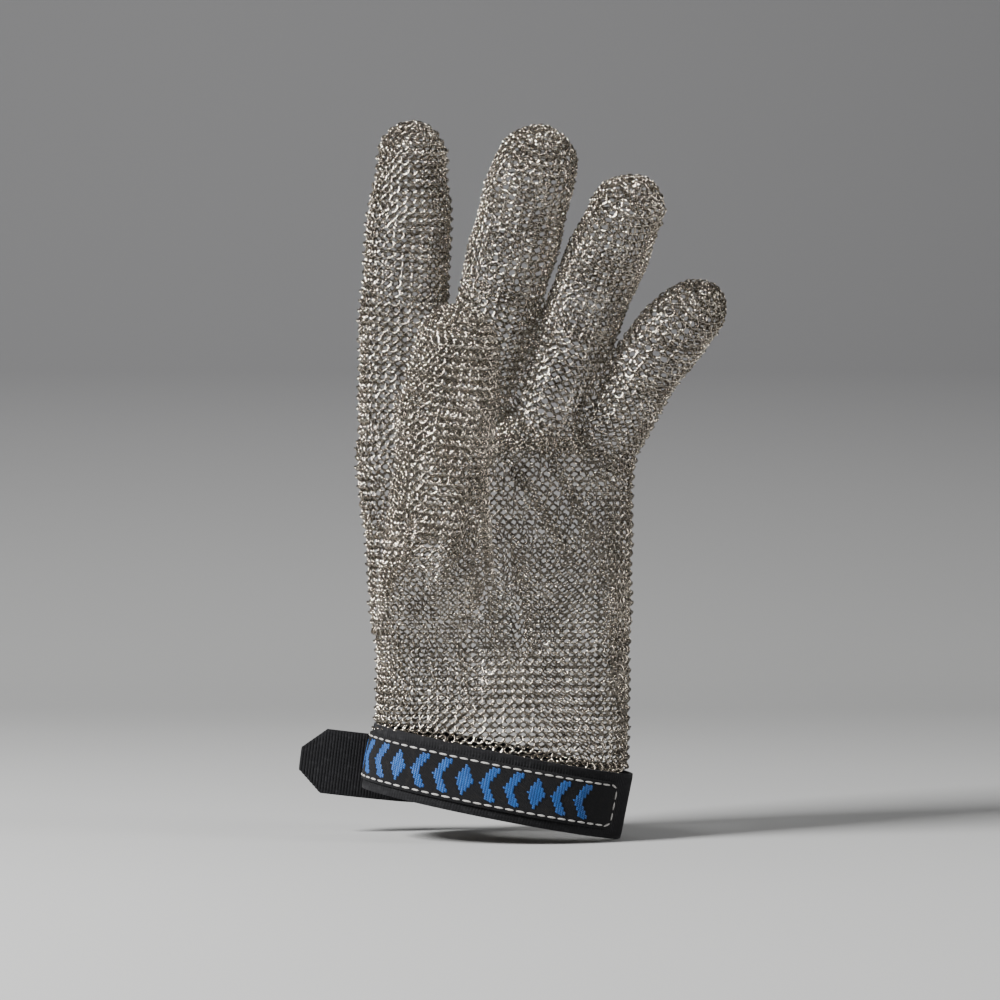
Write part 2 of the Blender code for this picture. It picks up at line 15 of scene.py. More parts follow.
import bpy
import numpy as np
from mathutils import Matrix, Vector

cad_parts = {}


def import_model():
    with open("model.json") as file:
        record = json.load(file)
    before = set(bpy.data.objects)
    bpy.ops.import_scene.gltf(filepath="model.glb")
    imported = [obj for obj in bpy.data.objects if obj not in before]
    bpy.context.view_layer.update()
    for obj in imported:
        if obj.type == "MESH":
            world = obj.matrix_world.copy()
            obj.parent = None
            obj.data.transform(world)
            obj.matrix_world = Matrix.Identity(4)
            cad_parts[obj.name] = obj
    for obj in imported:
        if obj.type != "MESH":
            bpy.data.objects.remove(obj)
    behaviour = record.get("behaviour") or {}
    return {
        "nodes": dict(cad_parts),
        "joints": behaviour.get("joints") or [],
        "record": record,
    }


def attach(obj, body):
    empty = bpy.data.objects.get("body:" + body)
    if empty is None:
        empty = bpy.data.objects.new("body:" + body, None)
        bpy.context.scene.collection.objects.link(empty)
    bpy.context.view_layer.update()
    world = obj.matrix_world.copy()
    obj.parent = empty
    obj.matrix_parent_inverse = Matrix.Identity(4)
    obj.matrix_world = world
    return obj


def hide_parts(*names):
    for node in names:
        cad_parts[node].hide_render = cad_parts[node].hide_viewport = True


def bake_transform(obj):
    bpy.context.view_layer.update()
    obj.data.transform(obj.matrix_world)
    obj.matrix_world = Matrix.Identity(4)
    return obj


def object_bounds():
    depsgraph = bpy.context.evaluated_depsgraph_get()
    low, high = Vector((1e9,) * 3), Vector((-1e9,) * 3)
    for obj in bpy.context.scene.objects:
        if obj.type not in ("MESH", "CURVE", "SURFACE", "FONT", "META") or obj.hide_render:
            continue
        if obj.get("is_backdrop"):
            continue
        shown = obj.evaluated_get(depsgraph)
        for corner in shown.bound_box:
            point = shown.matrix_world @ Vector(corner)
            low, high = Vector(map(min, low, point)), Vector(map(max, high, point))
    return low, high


MM = 0.001
FAR = 9.0  # beyond any of the glove's sizes
LOG = logging.getLogger("glove")
Array = np.ndarray


# Small tools


def smooth_share(value: Array) -> Array:
    """Returns a share from 0 to 1 that starts and ends gently.

    Args:
        value: The plain share, which may lie outside 0 to 1.
    """
    share = np.clip(value, 0.0, 1.0)
    return share * share * (3.0 - 2.0 * share)


def unit(vectors: Array) -> Array:
    """Returns vectors of length one.

    Args:
        vectors: Any array whose last axis has three numbers.
    """
    return vectors / np.maximum(np.linalg.norm(vectors, axis=-1, keepdims=True), 1e-12)


def read_line(distances: Array, walked: Array, line: Array) -> Array:
    """Returns points of a line at distances along it.

    Args:
        distances: How far along each point is.
        walked: How far along each of the line's own points is.
        line: The line's own points.
    """
    return np.stack([np.interp(distances, walked, column) for column in line.T], axis=1)


def node_points(name: str) -> Array:
    """Reads the corner points of a CAD node at rest.

    Args:
        name: The CAD node's name.

    Returns:
        The points in metres, one row each.
    """
    mesh = bpy.data.objects[name].data
    points = np.empty(len(mesh.vertices) * 3, np.float32)
    mesh.vertices.foreach_get("co", points)
    return points.reshape(-1, 3).astype(float)


def deselect_all() -> None:
    """Leaves nothing selected and nothing active."""
    if bpy.context.mode != "OBJECT":
        bpy.ops.object.mode_set(mode="OBJECT")
    bpy.ops.object.select_all(action="DESELECT")
    bpy.context.view_layer.objects.active = None


def make_active(piece: bpy.types.Object) -> None:
    """Selects one piece alone.

    Args:
        piece: The object that the next operators act on.
    """
    deselect_all()
    piece.select_set(True)
    bpy.context.view_layer.objects.active = piece


def place_of(piece: bpy.types.Object) -> Array:
    """Reads a piece's vertex positions.

    Args:
        piece: A mesh object.

    Returns:
        The positions, one row each.
    """
    points = np.empty(len(piece.data.vertices) * 3, np.float32)
    piece.data.vertices.foreach_get("co", points)
    return points.reshape(-1, 3).astype(float)


def set_places(piece: bpy.types.Object, points: Array) -> None:
    """Moves a piece's vertices.

    Args:
        piece: A mesh object.
        points: The new positions, one row for each vertex.
    """
    piece.data.vertices.foreach_set("co", np.asarray(points, np.float32).ravel())
    piece.data.update()


def add_modifier(piece: bpy.types.Object, kind: str, **settings: object) -> None:
    """Adds a modifier and applies it.

    Args:
        piece: The object to change.
        kind: The modifier's type.
        settings: Its properties by name.
    """
    make_active(piece)
    modifier = piece.modifiers.new(kind.title(), kind)
    for name, value in settings.items():
        setattr(modifier, name, value)
    bpy.ops.object.modifier_apply(modifier=modifier.name)


def face_outwards(piece: bpy.types.Object, merge: float = 0.0) -> None:
    """Recalculates a closed piece's normals.

    Args:
        piece: The object to change.
        merge: The distance within which doubled points are joined first.
    """
    make_active(piece)
    bpy.ops.object.mode_set(mode="EDIT")
    bpy.ops.mesh.select_all(action="SELECT")
    if merge:
        bpy.ops.mesh.remove_doubles(threshold=merge)
    bpy.ops.mesh.normals_make_consistent(inside=False)
    bpy.ops.object.mode_set(mode="OBJECT")


def shade_smooth(piece: bpy.types.Object, degrees: float = 0.0) -> None:
    """Shades a piece smooth.

    Args:
        piece: The object to change.
        degrees: If set, edges sharper than this stay sharp.
    """
    make_active(piece)
    if degrees:
        bpy.ops.object.shade_smooth_by_angle(angle=math.radians(degrees))
    else:
        bpy.ops.object.shade_smooth()


def dress(piece: bpy.types.Object, material: bpy.types.Material) -> None:
    """Gives a piece its only material.

    Args:
        piece: The object to dress.
        material: Its material.
    """
    piece.data.materials.clear()
    piece.data.materials.append(material)


# Materials


@dataclass
class Graph:
    """Adds nodes to a node tree with few words."""

    tree: bpy.types.NodeTree

    def node(self, kind: str, **settings: object) -> bpy.types.Node:
        """Adds a node.

        Args:
            kind: The node's type, without its ShaderNode prefix.
            settings: Its properties by name.

        Returns:
            The new node.
        """
        made = self.tree.nodes.new(kind if kind.startswith("Node") else f"ShaderNode{kind}")
        for name, value in settings.items():
            setattr(made, name, value)
        return made

    def join(self, source: object, target: bpy.types.NodeSocket) -> None:
        """Links a socket to a target, or sets the target's own value.

        Args:
            source: An output socket, a number or a colour.
            target: The input socket.
        """
        if isinstance(source, bpy.types.NodeSocket):
            self.tree.links.new(source, target)
        else:
            target.default_value = source

    def math(self, operation: str, *terms: object) -> bpy.types.NodeSocket:
        """Adds a Math node.

        Args:
            operation: The node's operation.
            terms: One to three sockets or numbers.

        Returns:
            Its result.
        """
        made = self.node("Math", operation=operation)
        for number, term in enumerate(terms):
            self.join(term, made.inputs[number])
        return made.outputs[0]

    def blend(self, share: object, low: object, high: object) -> bpy.types.NodeSocket:
        """Mixes two colours.

        Args:
            share: The second colour's share.
            low: The first colour.
            high: The second colour.

        Returns:
            The mixed colour.
        """
        made = self.node("Mix", data_type="RGBA")
        self.join(share, made.inputs[0])
        self.join(low, made.inputs[6])
        self.join(high, made.inputs[7])
        return made.outputs[2]

    def spread(self, value: object, low: float, high: float, to: tuple) -> bpy.types.NodeSocket:
        """Carries a value from one range to another, and holds it there.

        Args:
            value: The socket to read.
            low: The value that gives the new range's start.
            high: The value that gives the new range's end.
            to: The new range.

        Returns:
            The value in the new range.
        """
        made = self.node("MapRange")
        for name, term in zip(
            ("Value", "From Min", "From Max", "To Min", "To Max"), (value, low, high, *to)
        ):
            self.join(term, made.inputs[name])
        return made.outputs[0]


def new_group(name: str, inputs: dict, outputs: dict) -> tuple:
    """Starts a shader node group.

    Args:
        name: The group's name.
        inputs: Each input's name and (socket type, usual value).
        outputs: Each output's name and socket type.

    Returns:
        The group, a Graph for it, its input node's outputs and its output node's inputs.
    """
    group = bpy.data.node_groups.new(name, "ShaderNodeTree")
    for label, (kind, usual) in inputs.items():
        socket = group.interface.new_socket(label, in_out="INPUT", socket_type=kind)
        if usual is not None:
            socket.default_value = usual
    for label, kind in outputs.items():
        group.interface.new_socket(label, in_out="OUTPUT", socket_type=kind)
    graph = Graph(group)
    return group, graph, graph.node("NodeGroupInput").outputs, graph.node("NodeGroupOutput").inputs


FLOAT = "NodeSocketFloat"
COLOUR = "NodeSocketColor"
VECTOR = "NodeSocketVector"


class Effects:
    """The node groups that several finishes share."""

    def __init__(self) -> None:
        """Builds each group once."""
        self.wire = self.build_wire()
        self.weave = self.build_weave()
        self.thread = self.build_thread()

    @staticmethod
    def build_wire() -> bpy.types.NodeTree:
        """Builds the tone of drawn wire, which differs a little from ring to ring.

        Returns:
            The node group.
        """
        group, graph, given, made = new_group(
            "WireTone",
            {
                "Place": (VECTOR, None),
                "Ring": (FLOAT, 0.5),
                "Bright": (COLOUR, (0.7, 0.7, 0.7, 1)),
                "Dull": (COLOUR, (0.3, 0.3, 0.3, 1)),
                "Smooth": (FLOAT, 0.2),
                "Worn": (FLOAT, 0.4),
            },
            {"Colour": COLOUR, "Roughness": FLOAT, "Height": FLOAT},
        )
        stain = graph.node("TexNoise")
        stain.inputs["Scale"].default_value = 90.0
        stain.inputs["Detail"].default_value = 4.0
        graph.join(given["Place"], stain.inputs["Vector"])
        scratch = graph.node("TexNoise")
        scratch.inputs["Scale"].default_value = 2600.0
        scratch.inputs["Detail"].default_value = 2.0
        graph.join(given["Place"], scratch.inputs["Vector"])
        cloud = graph.spread(stain.outputs[0], 0.38, 0.66, (0.0, 1.0))
        dull = graph.math("MULTIPLY_ADD", cloud, 0.45, graph.math("MULTIPLY", given["Ring"], 0.55))
        graph.join(graph.blend(dull, given["Bright"], given["Dull"]), made["Colour"])
        rough = graph.spread(dull, 0.0, 1.0, (given["Smooth"], given["Worn"]))
        fine = graph.spread(scratch.outputs[0], 0.3, 0.7, (-0.05, 0.07))
        graph.join(graph.math("ADD", rough, fine), made["Roughness"])
        graph.join(scratch.outputs[0], made["Height"])
        return group

    @staticmethod
    def build_weave() -> bpy.types.NodeTree:
        """Builds a plain weave in metres, from a UV map laid along the cloth.

        Returns:
            The node group.
        """
        group, graph, given, made = new_group(
            "WovenCloth",
            {
                "Place": (VECTOR, None),
                "Along": (FLOAT, 0.001),
                "Across": (FLOAT, 0.001),
                "Wear": (FLOAT, 0.3),
            },
            {"Height": FLOAT, "Gap": FLOAT, "Fuzz": FLOAT},
        )
        split = graph.node("SeparateXYZ")
        graph.join(given["Place"], split.inputs[0])
        wobble = graph.node("TexNoise")
        wobble.inputs["Scale"].default_value = 160.0
        graph.join(given["Place"], wobble.inputs["Vector"])
        shift = graph.spread(wobble.outputs[0], 0.0, 1.0, (-0.16, 0.16))
        columns = graph.math("ADD", graph.math("DIVIDE", split.outputs[0], given["Along"]), shift)
        rows = graph.math("ADD", graph.math("DIVIDE", split.outputs[1], given["Across"]), shift)
        odd = graph.math("MODULO", graph.math("ABSOLUTE", graph.math("FLOOR", columns)), 2.0)
        half = graph.math("MULTIPLY_ADD", odd, 0.5, rows)
        humps = []
        for threads, power in ((columns, 0.6), (half, 0.5)):
            wave = graph.math("SINE", graph.math("MULTIPLY", threads, math.pi))
            humps.append(graph.math("POWER", graph.math("ABSOLUTE", wave), power))
        height = graph.math("MULTIPLY", *humps)
        graph.join(height, made["Height"])
        # This mask marks the low places between the threads, where the cloth paints its shade.
        graph.join(graph.spread(height, 0.0, 0.45, (1.0, 0.0)), made["Gap"])
        fuzz = graph.node("TexNoise")
        fuzz.inputs["Scale"].default_value = 420.0
        fuzz.inputs["Detail"].default_value = 5.0
        graph.join(given["Place"], fuzz.inputs["Vector"])
        worn = graph.spread(fuzz.outputs[0], 0.52, 0.78, (0.0, given["Wear"]))
        graph.join(worn, made["Fuzz"])
        return group

    @staticmethod
    def build_thread() -> bpy.types.NodeTree:
        """Builds the fine twist of sewing thread, from Object coordinates, with painted shade in its
        grooves and painted light on its crowns.

        Returns:
            The node group.
        """
        group, graph, given, made = new_group(
            "ThreadTwist",
            {"Place": (VECTOR, None), "Light": (COLOUR, None), "Dark": (COLOUR, None)},
            {"Colour": COLOUR, "Height": FLOAT},
        )
        wave = graph.node("TexWave", bands_direction="DIAGONAL")
        wave.inputs["Scale"].default_value = 900.0
        wave.inputs["Distortion"].default_value = 1.5
        graph.join(given["Place"], wave.inputs["Vector"])
        cloud = graph.node("TexNoise")
        cloud.inputs["Scale"].default_value = 300.0
        graph.join(given["Place"], cloud.inputs["Vector"])
        # Painted shade and light: the colour follows the twist's wave, the same wave that gives the
        # bump. It is darker in the grooves and lighter on the crowns, with a random mottle of tone
        # mixed in.
        mottle = graph.math("MULTIPLY", cloud.outputs[0], 0.5)
        share = graph.math("MULTIPLY_ADD", wave.outputs["Fac"], 0.5, mottle)
        lit = graph.spread(share, 0.25, 0.75, (0.0, 1.0))
        graph.join(graph.blend(lit, given["Dark"], given["Light"]), made["Colour"])
        graph.join(wave.outputs["Fac"], made["Height"])
        return group


@dataclass(frozen=True)
class Finish:
    """What every finish has: a name and its place in a material."""

    name: str

    def start(self) -> tuple:
        """Starts a material.

        Returns:
            The material, its Graph and its Principled shader.
        """
        material = bpy.data.materials.new(self.name)
        material.use_nodes = True
        shader = material.node_tree.nodes["Principled BSDF"]
        return material, Graph(material.node_tree), shader

    @staticmethod
    def place(graph: Graph, effect: bpy.types.NodeTree, source: str = "Object") -> bpy.types.Node:
        """Places a node group that reads the piece's coordinates.

        Args:
            graph: The material's graph.
            effect: The node group.
            source: Object or UV.

        Returns:
            The placed group.
        """
        made = graph.node("Group")
        made.node_tree = effect
        coordinates = graph.node("TexCoord")
        graph.join(coordinates.outputs[source], made.inputs["Place"])
        return made

    @staticmethod
    def bump(
        graph: Graph, shader: bpy.types.Node, height: object, strength: float, depth: float
    ) -> None:
        """Drives a shader's normal from a height.

        Args:
            graph: The material's graph.
            shader: The Principled shader.
            height: The height's socket.
            strength: The Bump node's strength.
            depth: The Bump node's distance in metres.
        """
        bump = graph.node("Bump")
        bump.inputs["Strength"].default_value = strength
        bump.inputs["Distance"].default_value = depth
        graph.join(height, bump.inputs["Height"])
        graph.join(bump.outputs[0], shader.inputs["Normal"])


@dataclass(frozen=True)
class WireFinish(Finish):
    """Bare steel wire whose tone differs from ring to ring."""

    bright: tuple
    dull: tuple
    smooth: float
    worn: float

    def make(self, effects: Effects) -> bpy.types.Material:
        """Makes the wire.

        Args:
            effects: The shared node groups.

        Returns:
            The material.
        """
        material, graph, shader = self.start()
        tone = self.place(graph, effects.wire)
        ring = graph.node("Attribute", attribute_name="ring_tone")
        graph.join(ring.outputs["Fac"], tone.inputs["Ring"])
        graph.join((*self.bright, 1), tone.inputs["Bright"])
        graph.join((*self.dull, 1), tone.inputs["Dull"])
        graph.join(self.smooth, tone.inputs["Smooth"])
        graph.join(self.worn, tone.inputs["Worn"])
        graph.join(tone.outputs["Colour"], shader.inputs["Base Color"])
        graph.join(tone.outputs["Roughness"], shader.inputs["Roughness"])
        shader.inputs["Metallic"].default_value = 1.0
        self.bump(graph, shader, tone.outputs["Height"], 0.25, 0.00003)
        return material


@dataclass(frozen=True)
class ClothFinish(Finish):
    """Woven cloth whose threads run along and across its UV map."""

    base: tuple
    worn_to: tuple
    along: float
    across: float
    wear: float
    roughness: float
    sheen: float

    def make(self, effects: Effects) -> bpy.types.Material:
        """Makes the cloth.

        Args:
            effects: The shared node groups.

        Returns:
            The material.
        """
        material, graph, shader = self.start()
        weave = self.place(graph, effects.weave, "UV")
        graph.join(self.along, weave.inputs["Along"])
        graph.join(self.across, weave.inputs["Across"])
        graph.join(self.wear, weave.inputs["Wear"])
        # Painted shade: the cloth's colour falls to a third of its base in the low gaps between its
        # threads.
        dark = tuple(0.3 * channel for channel in self.base)
        threads = graph.blend(weave.outputs["Gap"], (*self.base, 1), (*dark, 1))
        colour = graph.blend(weave.outputs["Fuzz"], threads, (*self.worn_to, 1))
        graph.join(colour, shader.inputs["Base Color"])
        rough = graph.spread(weave.outputs["Fuzz"], 0.0, 1.0, (self.roughness, 0.97))
        graph.join(rough, shader.inputs["Roughness"])
        shader.inputs["Sheen Weight"].default_value = self.sheen
        shader.inputs["Sheen Roughness"].default_value = 0.4
        shader.inputs["Specular IOR Level"].default_value = 0.12
        self.bump(graph, shader, weave.outputs["Height"], 0.8, 0.00022)
        return material


@dataclass(frozen=True)
class ThreadFinish(Finish):
    """Sewing or embroidery thread."""

    light: tuple
    dark: tuple
    roughness: float
    sheen: float

    def make(self, effects: Effects) -> bpy.types.Material:
        """Makes the thread.

        Args:
            effects: The shared node groups.

        Returns:
            The material.
        """
        material, graph, shader = self.start()
        twist = self.place(graph, effects.thread)
        graph.join((*self.light, 1), twist.inputs["Light"])
        graph.join((*self.dark, 1), twist.inputs["Dark"])
        graph.join(twist.outputs["Colour"], shader.inputs["Base Color"])
        shader.inputs["Roughness"].default_value = self.roughness
        shader.inputs["Specular IOR Level"].default_value = 0.25
        shader.inputs["Sheen Weight"].default_value = self.sheen
        self.bump(graph, shader, twist.outputs["Height"], 0.4, 0.00005)
        return material


# Both tones are warmer and darker than bare steel. The warm tint is a painted reflection of warm
# surroundings, and the low level is a painted reflection of dark surroundings. The spread between
# them, from ring to ring and in patches, is the steel's own tone.
STEEL_WIRE = WireFinish(
    "steel_wire", bright=(0.54, 0.495, 0.425), dull=(0.10, 0.083, 0.066), smooth=0.12, worn=0.25
)
BLACK_WEBBING = ClothFinish(
    "black_webbing",
    base=(0.007, 0.007, 0.008),
    worn_to=(0.028, 0.028, 0.030),
    along=1.15 * MM,
    across=0.55 * MM,
    wear=0.5,
    roughness=0.75,
    sheen=0.06,
)
BLACK_LINING = ClothFinish(
    "black_lining",
    base=(0.006, 0.006, 0.007),
    worn_to=(0.022, 0.022, 0.022),
    along=0.8 * MM,
    across=0.8 * MM,
    wear=0.4,
    roughness=0.88,
    sheen=0.06,
)
BLACK_LABEL = ClothFinish(
    "black_label",
    base=(0.004, 0.004, 0.005),
    worn_to=(0.018, 0.016, 0.014),
    along=0.42 * MM,
    across=0.62 * MM,
    wear=0.5,
    roughness=0.6,
    sheen=0.04,
)
BLUE_THREAD = ThreadFinish(
    "blue_thread", light=(0.012, 0.085, 0.28), dark=(0.003, 0.028, 0.12), roughness=0.42, sheen=0.05
)
WHITE_THREAD = ThreadFinish(
    "white_thread", light=(0.42, 0.41, 0.39), dark=(0.22, 0.21, 0.20), roughness=0.6, sheen=0.1
)


# The skin that the mail lies on


@dataclass
class Tube:
    """A tapering tube of oval sections along a bent centre line.

    points, sides and half_sizes are its control points, the way each section's width runs,
    and each section's half-width and half-depth. An upright tube keeps its sections level.
    """

    name: str
    points: Array
    sides: Array
    half_sizes: Array
    foot_cap: float
    tip_cap: float
    upright_to: float = 0.0
    rounding: float = 4.0 * MM
    step: float = 1.0 * MM
    first_row_height: float = 0.0

    def __post_init__(self) -> None:
        """Samples the centre line, its frames and its sizes at an even step."""
        lengths = np.linalg.norm(np.diff(self.points, axis=0), axis=1)
        marks = np.concatenate([[0.0], np.cumsum(lengths)])
        self.length = float(marks[-1])
        count = int(self.length / self.step) + 1
        self.along = np.linspace(0.0, self.length, count)
        line = self.rounded(marks, self.points)
        size = self.rounded(marks, self.half_sizes)
        side = unit(self.rounded(marks, self.sides))
        heading = unit(np.gradient(line, self.along, axis=0))
        level = smooth_share((self.upright_to - line[:, 2]) / (20 * MM))[:, None]
        if not self.upright_to:
            level = np.zeros_like(level)
        axis = unit(heading * (1 - level) + np.array([0.0, 0.0, 1.0]) * level)
        side = unit(side - axis * np.sum(side * axis, axis=1, keepdims=True))
        self.line, self.axis, self.side, self.size = line, axis, side, size
        self.front = np.cross(axis, side)
        rise = np.sum(np.diff(line, axis=0) * (axis[1:] + axis[:-1]) / 2, axis=1)
        self.rise = self.first_row_height + np.concatenate([[0.0], np.cumsum(rise)])

    def rounded(self, marks: Array, values: Array) -> Array:
        """Reads values at every station and rounds the corners between them.

        Args:
            marks: How far along each control point is.
            values: The values there.

        Returns:
            The values, one row for each station.
        """
        plain = read_line(self.along, marks, values)
        reach = int(3 * self.rounding / self.step)
        if reach < 1:
            return plain
        first = plain[:1] + (plain[:1] - plain[1 : reach + 1][::-1])
        last = plain[-1:] + (plain[-1:] - plain[-reach - 1 : -1][::-1])
        padded = np.concatenate([first, plain, last])
        offsets = np.arange(-reach, reach + 1) * self.step
        kernel = np.exp(-0.5 * (offsets / self.rounding) ** 2)
        kernel /= kernel.sum()
        columns = [np.convolve(column, kernel, "valid") for column in padded.T]
        return np.stack(columns, axis=1)

    def at(self, s: Array) -> tuple:
        """Reads the tube at distances along its line.

        Args:
            s: The distances, in metres.

        Returns:
            The centres, axes, sides, fronts and half-sizes there.
        """
        place = np.clip(s / self.length, 0, 1) * (len(self.along) - 1)
        low = np.minimum(place.astype(int), len(self.along) - 2)
        share = (place - low)[..., None]

        def read(table: Array) -> Array:
            """Returns a table's values between its stations."""
            return table[low] * (1 - share) + table[low + 1] * share

        return tuple(read(t) for t in (self.line, self.axis, self.side, self.front, self.size))

    def nearest(self, points: Array) -> Array:
        """Finds where along the line each point lies.

        Args:
            points: The points to place.

        Returns:
            The distances along.
        """
        squares = (
            (points**2).sum(1)[:, None] - 2 * points @ self.line.T + (self.line**2).sum(1)[None]
        )
        s = self.along[np.argmin(squares, axis=1)]
        for _ in range(3):
            centre, axis, *_ = self.at(s)
            s = np.clip(s + np.sum((points - centre) * axis, axis=1), 0, self.length)
        return s

    def distance(self, points: Array) -> tuple:
        """Measures points against the tube's surface.

        Args:
            points: The points to measure.

        Returns:
            How far outside it each point is, and its place along.
        """
        s = self.nearest(points)
        centre, axis, side, front, size = self.at(s)
        gap = points - centre
        x = np.sum(gap * side, axis=1)
        y = np.sum(gap * front, axis=1)
        true_s = s + np.sum(gap * axis, axis=1)
        over = np.maximum(true_s - (self.length - self.tip_cap), 0) / self.tip_cap
        under = np.maximum(self.foot_cap - true_s, 0) / self.foot_cap
        cap = over - under
        cap_length = np.where(over > 0, self.tip_cap, self.foot_cap)
        rho = np.sqrt((x / size[:, 0]) ** 2 + (y / size[:, 1]) ** 2 + cap**2)
        radius = np.sqrt(x**2 + y**2 + (cap * cap_length) ** 2) / np.maximum(rho, 1e-9)
        radius = np.where(rho > 1e-6, radius, size[:, 1])
        return (rho - 1) * radius, true_s


@dataclass(frozen=True)
class Fold:
    """A ridge or crease in the mail, in the hand's own X and Z, on the palm's side.

    Sizes are in millimetres. The rings within reach crowd towards the fold by the gather's
    share, and turn on edge.
    """

    start: tuple
    end: tuple
    height: float
    width: float
    gather: float = 0.5
    reach: float = 5.5

    def measure(self, points: Array) -> tuple:
        """Measures points against the fold.

        Args:
            points: Points on the skin.

        Returns:
            How far to its side they lie, the way there and the fold's strength.
        """
        a = np.array(self.start) * MM
        b = np.array(self.end) * MM
        flat = points[:, [0, 2]]
        way = b - a
        share = ((flat - a) @ way) / (way @ way)
        normal = np.array([way[1], -way[0]]) / np.linalg.norm(way)
        away = (flat - a) @ normal
        ends = smooth_share(np.minimum(share + 0.1, 1.1 - share) / 0.3)
        palm = smooth_share((4.0 * MM - points[:, 1]) / (8.0 * MM))
        return away, normal, ends * palm

    def lift(self, points: Array) -> Array:
        """Returns how far the fold raises the skin at each point.

        Args:
            points: Points on the skin.
        """
        away, _, strength = self.measure(points)
        return self.height * MM * strength * np.exp(-((away / (self.width * MM)) ** 2))

    def tightness(self, points: Array) -> Array:
        """Returns how tightly the rings crowd at each point, from 0 to 1.

        Args:
            points: Points on the skin.
        """
        away, _, strength = self.measure(points)
        return strength * np.exp(-((away / (self.reach * MM)) ** 2))

    def crowd(self, points: Array) -> Array:
        """Moves points towards the fold.

        Args:
            points: Points on the skin.

        Returns:
            The moved points.
        """
        away, normal, _ = self.measure(points)
        shift = -self.gather * away * self.tightness(points)
        moved = points.copy()
        moved[:, [0, 2]] += shift[:, None] * normal
        return moved


@dataclass
class Skin:
    """The tubes run together, with the folds and the slack of the mail."""

    hand: Tube
    thumb: Tube
    fingers: list
    folds: Sequence[Fold]
    finger_web: float = 5.0 * MM
    thumb_web_low: float = 7.0 * MM
    thumb_web_high: float = 1.2 * MM
    thumb_leaves: float = 112.0 * MM
    slack: float = 0.65 * MM

    @staticmethod
    def together(a: Array, b: Array, reach: Array) -> Array:
        """Returns the distance from two shapes run together.

        Args:
            a: Distances from the first shape.
            b: Distances from the second.
            reach: How wide the fillet between them is.
        """
        overlap = np.maximum(reach - np.abs(a - b), 0) / reach
        return np.minimum(a, b) - overlap**2 * reach / 4

    def distances(self, points: Array) -> dict:
        """Returns each tube's own distances by name.

        Args:
            points: The points to measure.
        """
        return {t.name: t.distance(points)[0] for t in (self.hand, self.thumb, *self.fingers)}

    def merged(self, points: Array, own: dict) -> Array:
        """Measures points against the whole skin.

        Args:
            points: The points to measure.
            own: What distances() gives for them.

        Returns:
            How far outside it each point is.
        """
        total = own[self.hand.name]
        for finger in self.fingers:
            total = self.together(total, own[finger.name], self.finger_web)
        low = smooth_share((self.thumb_leaves - points[:, 2]) / (22 * MM))
        reach = self.thumb_web_high + (self.thumb_web_low - self.thumb_web_high) * low
        total = self.together(total, own[self.thumb.name], reach)
        return total - self.relief(points)

    def relief(self, points: Array) -> Array:
        """Works out how far folds and slack move the skin outwards.

        Args:
            points: Points on the skin.

        Returns:
            The rise at each point.
        """
        x, y, z = (points / MM).T
        slack = (
            np.sin(0.21 * x + 0.13 * z + 1.3)
            + np.sin(0.17 * z - 0.11 * y + 0.4)
            + 0.7 * np.sin(0.39 * x - 0.27 * z + 0.19 * y + 2.0)
        )
        return self.slack * slack / 2.7 + sum(fold.lift(points) for fold in self.folds)

    def tightness(self, points: Array) -> Array:
        """Returns how tightly folds crowd the rings, from 0 to 1.

        Args:
            points: Points on the skin.
        """
        return np.clip(sum(fold.tightness(points) for fold in self.folds), 0, 1)

    def crowd(self, points: Array) -> Array:
        """Moves points towards the folds.

        Args:
            points: Points on the skin.

        Returns:
            The moved points.
        """
        for fold in self.folds:
            points = fold.crowd(points)
        return points


@dataclass
class Rings:
    """Where the rings of a stretch of mail lie, and how they lean."""

    centre: Array
    across: Array
    up: Array
    out: Array
    lean: Array
    along: Array
    tight: Array

    def only(self, chosen: Array) -> "Rings":
        """Returns some of the rings.

        Args:
            chosen: A mask or the rings' numbers.
        """
        return Rings(*(getattr(self, name)[chosen] for name in self.__dataclass_fields__))

    def __add__(self, other: "Rings") -> "Rings":
        """Returns two stretches as one."""
        names = self.__dataclass_fields__
        return Rings(*(np.concatenate([getattr(self, n), getattr(other, n)]) for n in names))


